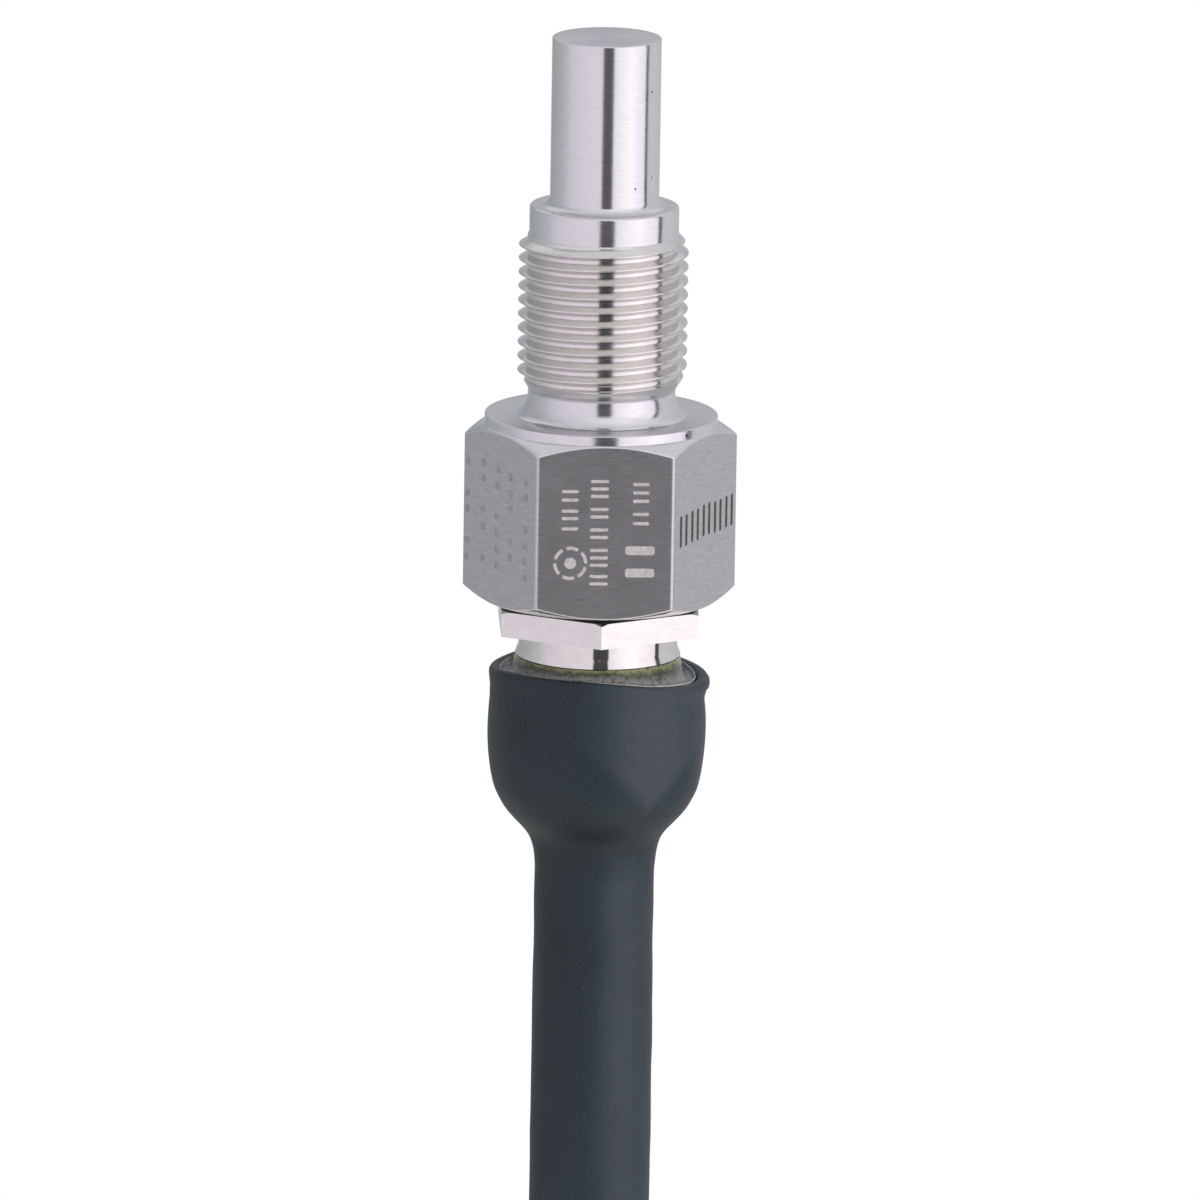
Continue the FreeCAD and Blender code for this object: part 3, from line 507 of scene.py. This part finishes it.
def cable_points():
    """The cable's control points: lead, turns, and the end that hangs in front."""
    lead = [(0, 0, -97), (0, 0, -114), (0, 0, -131), (13.0, 0, -142.0), (25.0, 0, -154.0),
            (29.3, 0, -169.0), (28.1, 0, -187), (28.1, 0, -204)]
    turns = [p for number in range(TURNS) for p in turn_points(number)]
    side = (FOLD_INNER + FOLD_OUTER) / 2
    front = -2 * LAYER
    end = [(FOLD_OUTER, -LAYER, TIE_MIDDLE), (FOLD_OUTER, -LAYER, TIE_MIDDLE - 10),
           (FOLD_OUTER - 1, -LAYER - 2, TIE_MIDDLE - 22), (side + 1, front + 1, -252),
           (side, front, -264), (side, front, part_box("cable_tail")[0].z / MM)]
    return lead + turns + end


def make_cable():
    """The whole cable as one NURBS curve."""
    curve = bpy.data.curves.new("cable", "CURVE")
    curve.dimensions = "3D"
    curve.resolution_u = 4
    curve.bevel_depth = CORD_RADIUS
    curve.bevel_resolution = 5
    curve.use_fill_caps = True
    points = cable_points()
    spline = curve.splines.new("NURBS")
    spline.points.add(len(points) - 1)
    for point, (x, y, z) in zip(spline.points, points):
        point.co = (x * MM, y * MM, z * MM, 1)
    spline.order_u = 3
    spline.use_endpoint_u = True
    cable = placed("cable", curve)
    curve.materials.append(JACKET)
    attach(cable, "root")
    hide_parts("cable_lead", "cable_hank", "cable_tail")


make_cable()


# ---------------------------------------------------------------- probe body

TIP_R, TIP_TOP, TIP_BREAK = 5.75, 40.35, 0.15
TIP_ROOT, TIP_ROOT_RADIUS = 22.4, 1.1
PILOT_R, PILOT_BREAK = 7.875, 0.3
THREAD_TOP, THREAD_START = 19.4, 20.42
THREAD_R, THREAD_ROOT_R, PITCH, CREST_ROUND = 8.95, 8.05, 1.5, 0.10
THREAD_ANGLE = math.radians(60)       # between a thread's two flanks
GROOVE_R, THREAD_END = 7.78, 2.83
FLARE_FOOT_R, FLARE_TOP, FLARE_RADIUS = 9.05, 2.3, 2.74
SEAT_R, SEAT_BREAK, COLLAR = 12.3, 0.1, 0.98
HEX_FLAT, HEX_FOOT, HEX_FOOT_R = 12.5, -19.6, 12.45
GLAND_BORE_R, GLAND_BORE_TOP, GLAND_MOUTH = 8.0, -9.0, 0.5
MAIN_BORE_R, TIP_BORE_R, TIP_BORE_TOP = 6.5, 4.95, 39.45
AXIS_R = 0.02                         # the ring that closes a flat end
HEX_BREAK, EDGE_BREAK = 0.45, 0.07
CHAMFER = math.radians(30)
SIDE, HALF_SIDE = math.radians(60), math.radians(30)    # a face's angle, and half of it

TURNED, FACED, MILLED, THREADED = range(4)


def hexagon_reach(angle):
    """The hexagon's distance from the axis at an angle, its corners slightly rounded."""
    off = (angle + HALF_SIDE) % SIDE - HALF_SIDE
    centre = (HEX_FLAT - HEX_BREAK) / math.cos(HALF_SIDE)
    limit = math.atan2(HEX_BREAK * 0.5, centre + HEX_BREAK * math.cos(HALF_SIDE))
    if abs(off) > limit:
        return HEX_FLAT / math.cos(HALF_SIDE - abs(off))
    across = centre * math.sin(off)
    return centre * math.cos(off) + math.sqrt(HEX_BREAK**2 - across**2)


def column_angles():
    """Angles round the axis, with extra ones where the hexagon's corners turn."""
    steps = [-30 + 1.5 * k for k in range(20)] + [-0.9, -0.6, -0.3, 0, 0.3, 0.6, 0.9]
    steps += [1.5 + 1.5 * k for k in range(19)]
    return [math.radians(60 * side + s) for side in range(6) for s in steps]


ANGLES = column_angles()


def ring_row(reach, height):
    """A row of points round the axis; reach and height may depend on the angle."""
    row = []
    for angle in ANGLES:
        r = reach(angle) if callable(reach) else reach
        z = height(angle) if callable(height) else height
        row.append(polar(r, angle, z))
    return row


def arc(centre_r, centre_z, radius, start, end, count):
    """Points (r, z) on an arc, its angles in degrees from outward towards up."""
    found = []
    for k in range(count + 1):
        a = math.radians(start + (end - start) * k / count)
        found.append((centre_r + radius * math.cos(a), centre_z + radius * math.sin(a)))
    return found


def thread_reach(phase):
    """The thread's radius at a share of the pitch away from a crest's middle."""
    off = abs((phase + 0.5) % 1 - 0.5) * PITCH
    turn = CREST_ROUND * math.sin(THREAD_ANGLE)
    if off < turn:
        return THREAD_R - CREST_ROUND + math.sqrt(CREST_ROUND**2 - off**2)
    flank = THREAD_R - CREST_ROUND / 2 - (off - turn) / math.tan(THREAD_ANGLE / 2)
    return max(flank, THREAD_ROOT_R)


THREAD_RUN_IN = math.radians(120)     # the angle over which the first turn fades
RUN_IN_TURNS = 1.5                    # the turns from the start that fade that way
RUN_OUT_SLOPE = 0.62                  # how fast the last turn rises out of the undercut

# Places across one pitch where the thread's section has a point, in shares of it.
HALF_PHASES = [0.025, 0.045, 0.058, 0.12, 0.19, 0.26, 0.33, 0.385, 0.43]
THREAD_PHASES = [0] + HALF_PHASES + [0.5] + [1 - phase for phase in HALF_PHASES[::-1]]


def thread_rows():
    """Helical rows from the pilot's shoulder to the undercut, held to both chamfers."""
    rows = []
    for turn in range(math.ceil((THREAD_START - THREAD_END) / PITCH) + 2):
        for phase in THREAD_PHASES:
            row = []
            for angle in ANGLES:
                lift = PITCH * angle / math.tau
                z = THREAD_START - PITCH * (turn + phase) + lift
                z = min(max(z, THREAD_END), THREAD_TOP)
                share = (THREAD_START - z + lift) / PITCH
                limit = min(PILOT_R + THREAD_TOP - z,
                            GROOVE_R + RUN_OUT_SLOPE * (z - THREAD_END))
                fading = max(1 - (angle - ANGLES[0]) / THREAD_RUN_IN, 0)
                grown = 1 if share > RUN_IN_TURNS else fading
                depth = (thread_reach(share) - THREAD_ROOT_R) * grown
                row.append(polar(min(THREAD_ROOT_R + depth, limit), angle, z))
            rows.append(row)
    return rows


def hexagon_rows():
    """The hexagon's outside, from the collar's foot down, with broken edges."""
    slope = math.tan(CHAMFER)
    along, down = EDGE_BREAK * math.cos(CHAMFER), EDGE_BREAK * math.sin(CHAMFER)

    def top(angle):
        return -COLLAR - (hexagon_reach(angle) - SEAT_R) * slope

    def foot(angle):
        return HEX_FOOT + (hexagon_reach(angle) - HEX_FOOT_R) * slope

    return [
        (SEAT_R, -COLLAR, TURNED),
        (lambda a: hexagon_reach(a) - along, lambda a: top(a) + down, TURNED),
        (hexagon_reach, lambda a: top(a) - EDGE_BREAK, MILLED),
        (hexagon_reach, lambda a: top(a) - 2 * EDGE_BREAK, MILLED),
        (hexagon_reach, lambda a: foot(a) + 2 * EDGE_BREAK, MILLED),
        (hexagon_reach, lambda a: foot(a) + EDGE_BREAK, TURNED),
        (lambda a: hexagon_reach(a) - along, lambda a: foot(a) - down, TURNED),
        (HEX_FOOT_R, HEX_FOOT, FACED),
    ]


def upper_plan():
    """The tip, its root and the pilot's edge, as (radius, height, finish below)."""
    plan = [(r, TIP_TOP, FACED) for r in (AXIS_R, 1.5, 3.0, 4.5)]
    turned = arc(TIP_R - TIP_BREAK, TIP_TOP - TIP_BREAK, TIP_BREAK, 90, 0, 5)
    turned += [(TIP_R, z) for z in (37, 33, 29, 25.5)]
    turned += arc(TIP_R + TIP_ROOT_RADIUS, TIP_ROOT + TIP_ROOT_RADIUS, TIP_ROOT_RADIUS,
                  180, 270, 10)
    turned += arc(PILOT_R - PILOT_BREAK, TIP_ROOT - PILOT_BREAK, PILOT_BREAK, 90, 0, 5)
    return plan + [(r, z, TURNED) for r, z in turned]


def lower_plan():
    """The undercut, flare, seat and hexagon, and the bores behind them."""
    plan = [(r, z, TURNED) for r, z in [(GROOVE_R, THREAD_END), (GROOVE_R, FLARE_TOP + 0.1),
                                        *flare_arc()]]
    plan += [(r, 0.0, FACED) for r in (FLARE_FOOT_R + 0.02, 10.2, 11.4)]
    plan += [(r, z, TURNED)
             for r, z in arc(SEAT_R - SEAT_BREAK, -SEAT_BREAK, SEAT_BREAK, 90, 0, 3)]
    return plan + hexagon_rows() + inside_plan()


def body_rows():
    """Every ring of the probe body, the finish below each, and the ring it meets."""
    upper = [ring_row(r, z) for r, z, _ in upper_plan()]
    thread = thread_rows()
    lower = [ring_row(r, z) for r, z, _ in lower_plan()]
    kinds = [kind for _, _, kind in upper_plan()] + [THREADED] * len(thread)
    kinds += [kind for _, _, kind in lower_plan()]
    first = len(upper)
    meets = list(range(len(kinds)))
    for i in range(first, first + len(thread)):
        meets[i] = max(i - len(THREAD_PHASES), first)
    return upper + thread + lower, kinds, meets


def flare_arc():
    """The concave flare from the undercut down to the seat."""
    start, end = Vector((GROOVE_R, FLARE_TOP)), Vector((FLARE_FOOT_R, 0.0))
    way = end - start
    left = Vector((-way.y, way.x)).normalized()
    centre = (start + end) / 2 + left * math.sqrt(FLARE_RADIUS**2 - (way.length / 2) ** 2)
    first = math.degrees(math.atan2(start.y - centre.y, start.x - centre.x))
    last = math.degrees(math.atan2(end.y - centre.y, end.x - centre.x))
    return arc(centre.x, centre.y, FLARE_RADIUS, first % 360, last % 360, 10)


def inside_plan():
    """The bores behind the hexagon, up to the closed tip."""
    corners = [(GLAND_BORE_R + GLAND_MOUTH, HEX_FOOT), (GLAND_BORE_R, HEX_FOOT + GLAND_MOUTH),
               (GLAND_BORE_R, GLAND_BORE_TOP), (MAIN_BORE_R, GLAND_BORE_TOP),
               (MAIN_BORE_R, THREAD_TOP), (TIP_BORE_R, THREAD_TOP),
               (TIP_BORE_R, TIP_BORE_TOP), (AXIS_R, TIP_BORE_TOP)]
    return [(r, z, TURNED) for r, z in corners]


def make_body():
    """The probe body with its real thread, in place of the plain solid."""
    rows, kinds, meets = body_rows()
    mesh = grid_mesh("probe_body", rows, kinds, meets)
    body = new_piece("probe_body", mesh, [STEEL_TURNED, STEEL_FACED, STEEL_MILLED,
                                          STEEL_THREAD])
    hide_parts("sensor_body")


make_body()


# ---------------------------------------------------------------- marks on the hexagon

MARK_SUNK = 0.03


def rounded_bar(across, up, wide, high, corner=0.12):
    """The outline of an upright bar with rounded corners, as (across, up) points."""
    corner = min(corner, wide / 2, high / 2)
    outline = []
    for side, end, start in ((1, 1, 0), (-1, 1, 90), (-1, -1, 180), (1, -1, 270)):
        for k in range(5):
            a = math.radians(start + 22.5 * k)
            outline.append((across + side * (wide / 2 - corner) + corner * math.cos(a),
                            up + end * (high / 2 - corner) + corner * math.sin(a)))
    return outline


def disc(across, up, radius):
    """The outline of a disc."""
    return [(across + radius * math.cos(a), up + radius * math.sin(a))
            for a in even_turn(28)]


def ring_part(across, up, inner, outer, start):
    """The outline of a sixth of a ring, from a start angle in degrees."""
    way = [math.radians(start + 9 * k) for k in range(6)]
    return ([(across + outer * math.cos(a), up + outer * math.sin(a)) for a in way]
            + [(across + inner * math.cos(a), up + inner * math.sin(a)) for a in way[::-1]])


def make_marks(name, bearing, outlines, proud, material):
    """Thin plain marks on the flat that faces a bearing, each set a little into it."""
    out = Vector((math.cos(bearing), math.sin(bearing), 0))
    across = Vector((-out.y, out.x, 0))
    made = bmesh.new()
    for outline in outlines:
        rings = []
        for depth in (HEX_FLAT - MARK_SUNK, HEX_FLAT + proud):
            rings.append([made.verts.new((out * depth + across * a + Vector((0, 0, z))) * MM)
                          for a, z in outline])
        count = len(outline)
        for i in range(count):
            j = (i + 1) % count
            made.faces.new((rings[0][i], rings[0][j], rings[1][j], rings[1][i]))
        made.faces.new(rings[1])
        made.faces.new(list(reversed(rings[0])))
    bmesh.ops.recalc_face_normals(made, faces=made.faces)
    new_piece(name, finished_mesh(name, made), [material])


def front_marks():
    """Light etched dashes in three upright rows, over a ring with a dot and two bars."""
    rows = [(-3.7, 1.75, (-5.8, -6.7, -7.9, -8.7, -9.8)),
            (-0.6, 1.90, (-4.7, -5.5, -6.3, -7.7, -8.5, -9.9, -10.7, -12.1, -12.9,
                          -13.7, -14.9, -15.7)),
            (3.75, 1.70, (-5.0, -5.9, -6.8, -8.2, -9.2))]
    middle = (-3.6, -13.5)
    outlines = [rounded_bar(a, z, wide, 0.34) for a, wide, heights in rows for z in heights]
    outlines.append(disc(*middle, 0.62))
    outlines += [ring_part(*middle, 1.45, 1.80, 60 * k) for k in range(6)]
    outlines += [rounded_bar(3.7, z, 3.1, 0.95, 0.3) for z in (-12.1, -14.5)]
    return outlines


def side_marks():
    """Faint etched squares in five upright columns."""
    columns = [(-6.4, -5.0, "1011011"), (-3.3, -4.6, "1101101"), (-0.5, -4.9, "1101111"),
               (2.1, -5.3, "1110110"), (5.0, -5.2, "1101111")]
    return [rounded_bar(a, top - 1.72 * k, 0.95, 0.80, 0.2)
            for a, top, shown in columns for k, mark in enumerate(shown) if mark == "1"]


def right_marks():
    """A row of dark upright bars in pairs."""
    pairs = ((-4.9, 0.3), (-2.3, 0.15), (0.3, 0.0), (2.9, 0.1), (5.5, 0.0))
    return [rounded_bar(middle + half, -10.1 - drop, 0.48, 3.4, 0.2)
            for middle, drop in pairs for half in (-0.62, 0.62)]


make_marks("etched_front", math.radians(-90), front_marks(), 0.012, MARK_LIGHT)
make_marks("etched_left", math.radians(-150), side_marks(), 0.006, MARK_FAINT)
make_marks("annealed_right", math.radians(-30), right_marks(), 0.008, MARK_DARK)


# ---------------------------------------------------------------- hot melt

MELT_SIDES = 160
MELT_FOOT, MELT_TOP = (corner.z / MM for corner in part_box("hot_melt_ring"))
MELT_UNDER = 0.05                     # how far the glue stays below its solid's top

# How far the glue lies below the sleeve's lip: all round, and more at the left rear.
SINK, LEFT_SINK, LEFT_BRIM_SINK = 0.22, 0.35, 0.3

# The scales of its coarse and fine lumps in 1/mm, and how high the fine ones are.
LUMPS, FINE_LUMPS, FINE_SHARE = 1.1, 3.1, 0.6


def left_sink(angle):
    """1 where the glue lies lowest, at the left rear, and 0 on the far side from there."""
    return max(-math.cos(angle - 0.5), 0) ** 2


def make_melt():
    """The glue in the sleeve's mouth: it climbs the neck and dips under the sleeve's lip."""
    section = [(7.6, 0, 0), (8.70, 0, 0), (8.80, 0.16, 0.01), (8.92, 0.40, 0.03),
               (9.06, 0.66, 0.05), (9.26, 0.86, 0.08), (9.52, 0.97, 0.10),
               (9.82, 1.0, 0.11), (10.06, 1.0, 0.07)]
    brim = [(10.18, -0.12), (10.28, 0.02), (10.38, 0.05), (10.42, -0.06)]
    angles = even_turn(MELT_SIDES)
    rows = []
    for r, share, rough in section:
        row = []
        for a in angles:
            x, y, _ = polar(r, a, 0)
            edge = rim_height(a) - SINK - LEFT_SINK * left_sink(a)
            lumps = noise.noise(Vector((x * LUMPS, y * LUMPS, 4.0)))
            lumps += FINE_SHARE * noise.noise(Vector((x * FINE_LUMPS, y * FINE_LUMPS, 9.0)))
            z = MELT_TOP - MELT_UNDER + share * (edge - MELT_TOP) + rough * lumps
            row.append((x, y, z))
        rows.append(row)
    for r, lift in brim:
        rows.append([polar(r, a, rim_height(a) + lift - LEFT_BRIM_SINK * left_sink(a)
                           + 0.04 * noise.noise(Vector(polar(5, a, 2.0)))) for a in angles])
    rows += [[polar(r, a, MELT_FOOT) for a in angles] for r in (10.35, 7.6)]
    rows.append(rows[0])
    melt = new_piece("hot_melt", grid_mesh("hot_melt", rows), [MELT])
    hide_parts("hot_melt_ring")


# ---------------------------------------------------------------- heat-shrink sleeve

SLEEVE_SIDES = 160
RIM_MEAN, SLEEVE_FOOT = -27.36, -97.0
LIP_FOOT, LIP_BLEND = -28.6, 2.4      # below the lip's foot the mouth's wave fades out
CABLE_WAY, CABLE_WAY_TOP = 3.65, -60.0
NUT_CORNER = math.radians(27.3)       # where a corner of the nut presses the sleeve out
UNEVEN_TOP, UNEVEN = -30.0, 0.09      # the sleeve is a little uneven below this height

# How far the right side stands out: the lip by each millimetre past a radius, and the
# wall below it evenly.
LIP_FLARE, FLARE_FROM, WALL_FLARE = 0.30, 10.0, 0.22

# Over the nut the sleeve stands out at the corners and sinks by twice DENT between them.
NUT_FOOT, NUT_TOP, CORNER_OUT, DENT = -42.5, -31.0, 0.05, 0.07


def rim_height(angle):
    """The hand-cut mouth: low at the right, with a second, smaller wave."""
    wave = RIM_MEAN - 0.45 * math.cos(angle) - 0.14 * math.sin(angle)
    wave += -0.38 * math.cos(2 * angle) + 0.21 * math.sin(2 * angle)
    return wave + 0.10 * noise.noise(Vector(polar(3, angle, 1.7)))


def sleeve_outline():
    """The outside from just under the lip to the foot, as (radius, height)."""
    return [(11.42, LIP_FOOT), (11.33, -29.4), (11.42, -30.4), (11.55, -31.6), (11.64, -33.4),
            (11.63, -35.0), (11.55, -36.3), (11.42, -37.5), (11.18, -39.0), (10.83, -40.3),
            (10.30, -41.4), (9.62, -42.5), (8.65, -43.6), (7.70, -44.6), (7.00, -45.6),
            (6.58, -46.9), (6.38, -48.4), (6.31, -50.0), (6.33, -56.0), (6.38, -66.0),
            (6.40, -78.0), (6.40, -90.0), (6.40, -96.7), (6.32, SLEEVE_FOOT)]


LINE_POINTS = 5                       # points in each gap of a smooth line


def smooth_line(points):
    """More points on a smooth line through the given ones."""
    found = []
    for i in range(len(points) - 1):
        p0, p1 = Vector(points[max(i - 1, 0)]), Vector(points[i])
        p2, p3 = Vector(points[i + 1]), Vector(points[min(i + 2, len(points) - 1)])
        for k in range(LINE_POINTS):
            t = k / LINE_POINTS
            bend = (2 * p0 - 5 * p1 + 4 * p2 - p3) * t**2
            twist = (3 * p1 - p0 - 3 * p2 + p3) * t**3
            found.append(0.5 * (2 * p1 + (p2 - p0) * t + bend + twist))
    return [tuple(p) for p in found] + [points[-1]]


def dent(angle, z):
    """How far the sleeve sinks between the nut's corners, and its slight unevenness."""
    over_nut = ease((z - NUT_FOOT) / 4) * (1 - ease((z - NUT_TOP) / 1.5))
    hexagonal = math.cos(6 * (angle - NUT_CORNER))
    around = Vector(polar(2.1, angle, z / 5.0))
    below_rim = 1 - ease((z - UNEVEN_TOP) / 2.0)
    pressed = DENT * (hexagonal - 1) + CORNER_OUT
    return over_nut * pressed + UNEVEN * below_rim * noise.noise(around)


def right_flare(angle):
    """1 at the right, where the lip stands out, and 0 on the left half."""
    return max(math.cos(angle), 0) ** 3


def make_sleeve():
    """The sleeve with its rolled lip, inner wall, belly, dents and neck."""
    angles = even_turn(SLEEVE_SIDES)
    lip = [(10.35, -1.6), (10.35, -0.42), (10.47, -0.14), (10.72, 0.0), (11.05, 0.0),
           (11.32, -0.14), (11.46, -0.40), (11.47, -0.75), (11.43, -1.05)]
    rows = []
    for r, drop in lip:
        rows.append([polar(r + LIP_FLARE * right_flare(a) * (r - FLARE_FROM), a,
                           rim_height(a) + drop) for a in angles])
    for r, z in smooth_line(sleeve_outline()):
        settle = 1 - ease((LIP_FOOT - z) / LIP_BLEND)
        rows.append([polar(r + dent(a, z) + settle * WALL_FLARE * right_flare(a), a,
                           z + settle * (rim_height(a) - RIM_MEAN)) for a in angles])
    for z in (SLEEVE_FOOT, CABLE_WAY_TOP):
        rows.append([polar(CABLE_WAY, a, z) for a in angles])
    mesh = grid_mesh("sleeve", rows)
    sleeve = new_piece("sleeve", mesh, [SLEEVE])
    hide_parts("heat_shrink_sleeve")


make_sleeve()
make_melt()


# ---------------------------------------------------------------- room and light

# What the metal sees round it, by bearing from the camera in degrees, positive to the
# right: grey rear walls, a lavender-white left screen, a narrow dark gap at the camera,
# a brighter right screen, and a dark slit at its far edge.
SCREENS = [
    (-180, (0.50, 0.51, 0.55)), (-152, (0.38, 0.41, 0.44)), (-118, (0.50, 0.51, 0.53)),
    (-97, (0.60, 0.59, 0.65)), (-88, (0.69, 0.66, 0.73)), (-78, (0.79, 0.74, 0.83)),
    (-64, (0.86, 0.79, 0.90)), (-40, (0.92, 0.85, 0.95)), (-6.9, (0.97, 0.88, 0.97)),
    (-6.4, (0.07, 0.072, 0.075)), (15.4, (0.07, 0.072, 0.075)),
    (16.2, (1.08, 1.03, 1.14)), (30, (1.22, 1.16, 1.28)), (44, (1.36, 1.27, 1.36)),
    (57, (1.44, 1.36, 1.40)), (72, (1.27, 1.18, 1.32)), (91.5, (1.14, 1.07, 1.18)),
    (92.5, (0.07, 0.07, 0.08)), (99.5, (0.07, 0.07, 0.08)),
    (100.5, (0.72, 0.70, 0.76)), (122, (0.70, 0.69, 0.73)), (150, (0.60, 0.60, 0.64)),
    (180, (0.50, 0.51, 0.55)),
]
CEILING = (0.77, 0.77, 0.81)

# The canopy over them and the table below, by the same bearings.
CANOPY = [(-180, (0.44, 0.46, 0.49)), (-115, (0.50, 0.52, 0.55)), (-78, (0.74, 0.72, 0.79)),
          (-40, (0.84, 0.82, 0.88)), (0, (0.95, 0.93, 0.98)), (45, (1.10, 1.06, 1.12)),
          (90, (0.95, 0.92, 0.98)), (130, (0.70, 0.69, 0.74)), (180, (0.44, 0.46, 0.49))]
TABLE = [(-180, (0.50, 0.50, 0.49)), (-90, (0.70, 0.69, 0.69)), (-30, (0.92, 0.90, 0.91)),
         (10, (0.88, 0.86, 0.87)), (40, (1.16, 1.12, 1.14)), (70, (1.20, 1.15, 1.17)),
         (110, (0.74, 0.72, 0.73)), (180, (0.50, 0.50, 0.49))]
SCREEN_RADIUS = 1.5

# Heights, as shares of the sphere's radius, over which each goes over to the next. The
# ceiling comes lower the further a screen is to the rear.
TABLE_SPAN, CANOPY_SPAN, CEILING_SPAN = (-0.40, -0.58), (0.50, 0.66), (0.85, 0.98)
REAR_DROP = 0.6


def colours_round(tree, share, stops):
    """Colours by bearing, from stops in degrees; share runs from 0 to 1 over the turn."""
    ramp = add(tree, "ShaderNodeValToRGB", [("Fac", share)])
    ramp_stops(ramp.color_ramp, [(0.5 + degrees / 360, colour) for degrees, colour in stops])
    return ramp.outputs["Color"]


def screen_material():
    """Glowing screens by bearing, under a plain ceiling that comes lower at the back."""
    material = bpy.data.materials.new("studio_screens")
    material.use_nodes = True
    tree = material.node_tree
    tree.nodes.clear()
    where = add(tree, "ShaderNodeTexCoord").outputs["Object"]
    outward = add(tree, "ShaderNodeVectorMath", [(0, where)], operation="NORMALIZE")
    parts = add(tree, "ShaderNodeSeparateXYZ", [("Vector", outward.outputs["Vector"])])
    x, y, z = parts.outputs
    bearing = maths(tree, "ARCTAN2", x, maths(tree, "MULTIPLY", y, -1.0))
    share = spread(tree, bearing, 0, 1, -math.pi, math.pi)
    height = maths(tree, "MULTIPLY_ADD", maths(tree, "MAXIMUM", y, 0.0), REAR_DROP, z)
    shown = colours_round(tree, share, SCREENS)
    for stops, span in ((TABLE, TABLE_SPAN), (CANOPY, CANOPY_SPAN)):
        shown = mixed_colour(tree, spread(tree, z, 0, 1, *span), shown,
                             colours_round(tree, share, stops))
    shown = mixed_colour(tree, spread(tree, height, 0, 1, *CEILING_SPAN), shown,
                         plain_colour(tree, CEILING))
    glow = add(tree, "ShaderNodeEmission", [("Color", shown)])
    output = add(tree, "ShaderNodeOutputMaterial")
    tree.links.new(glow.outputs[0], output.inputs["Surface"])
    return material


def make_screens():
    """The studio's screens round the object, which only its gloss shows."""
    made = bmesh.new()
    bmesh.ops.create_uvsphere(made, u_segments=96, v_segments=48, radius=SCREEN_RADIUS)
    screens = placed("studio_screens", finished_mesh("studio_screens", made))
    screens.data.materials.append(screen_material())
    screens.rotation_euler.z = CAMERA_TURN
    for ray in ("camera", "diffuse", "transmission", "volume_scatter", "shadow"):
        setattr(screens, "visible_" + ray, False)


SKY_LEVEL = 0.55                      # the world's strength for diffuse rays


def make_world():
    """White behind the object and in its gloss, and a plain level of soft light on it."""
    world = bpy.data.worlds.new("studio")
    bpy.context.scene.world = world
    world.use_nodes = True
    tree = world.node_tree
    tree.nodes.clear()
    path = add(tree, "ShaderNodeLightPath").outputs
    clear = maths(tree, "MAXIMUM", path["Is Camera Ray"], path["Is Glossy Ray"])
    clear = maths(tree, "MAXIMUM", clear, path["Is Transmission Ray"])
    background = add(tree, "ShaderNodeBackground",
                     [("Color", (1, 1, 1, 1)),
                      ("Strength", spread(tree, clear, SKY_LEVEL, 1, 0, 1))])
    output = add(tree, "ShaderNodeOutputWorld")
    tree.links.new(background.outputs[0], output.inputs["Surface"])


LAMP_POWER, LAMP_SIZE, LAMP_DISTANCE = 9.0, 0.9, 1.3
LAMP_BEARING, LAMP_RISE = CAMERA_TURN + math.radians(52), math.radians(24)


def make_lamp():
    """One wide soft lamp, to the right of the camera and above."""
    data = bpy.data.lights.new("soft_lamp", "AREA")
    data.shape, data.size, data.energy = "DISK", LAMP_SIZE, LAMP_POWER
    lamp = placed("soft_lamp", data)
    level = math.cos(LAMP_RISE)
    way = Vector((math.sin(LAMP_BEARING) * level, -math.cos(LAMP_BEARING) * level,
                  math.sin(LAMP_RISE)))
    lamp.location = way * LAMP_DISTANCE
    lamp.rotation_euler = way.to_track_quat("Z", "Y").to_euler()
    lamp.visible_glossy = False


FLOOR_RADIUS, FLOOR_GAP = 0.7, 2 * MM
FLOOR_GLOW = 0.42                     # makes the floor as white as the background


def make_floor():
    """A plain white disc under the object, which keeps its shadow."""
    made = bmesh.new()
    bmesh.ops.create_circle(made, cap_ends=True, segments=96, radius=FLOOR_RADIUS)
    floor = placed("floor", finished_mesh("floor", made))
    floor.location.z = CAD_BOX[0][2] - FLOOR_GAP
    material, tree, shader = new_material("floor_white", Roughness=0.9,
                                          Base_Color=(0.86, 0.86, 0.86, 1),
                                          Emission_Color=(1, 1, 1, 1))
    path = add(tree, "ShaderNodeLightPath").outputs
    tree.links.new(maths(tree, "MULTIPLY", path["Is Camera Ray"], FLOOR_GLOW),
                   shader.inputs["Emission Strength"])
    floor.data.materials.append(material)
    floor.visible_glossy = False


make_screens()
make_world()
make_lamp()
make_floor()
bpy.context.scene.view_settings.view_transform = "Standard"

bpy.context.view_layer.update()
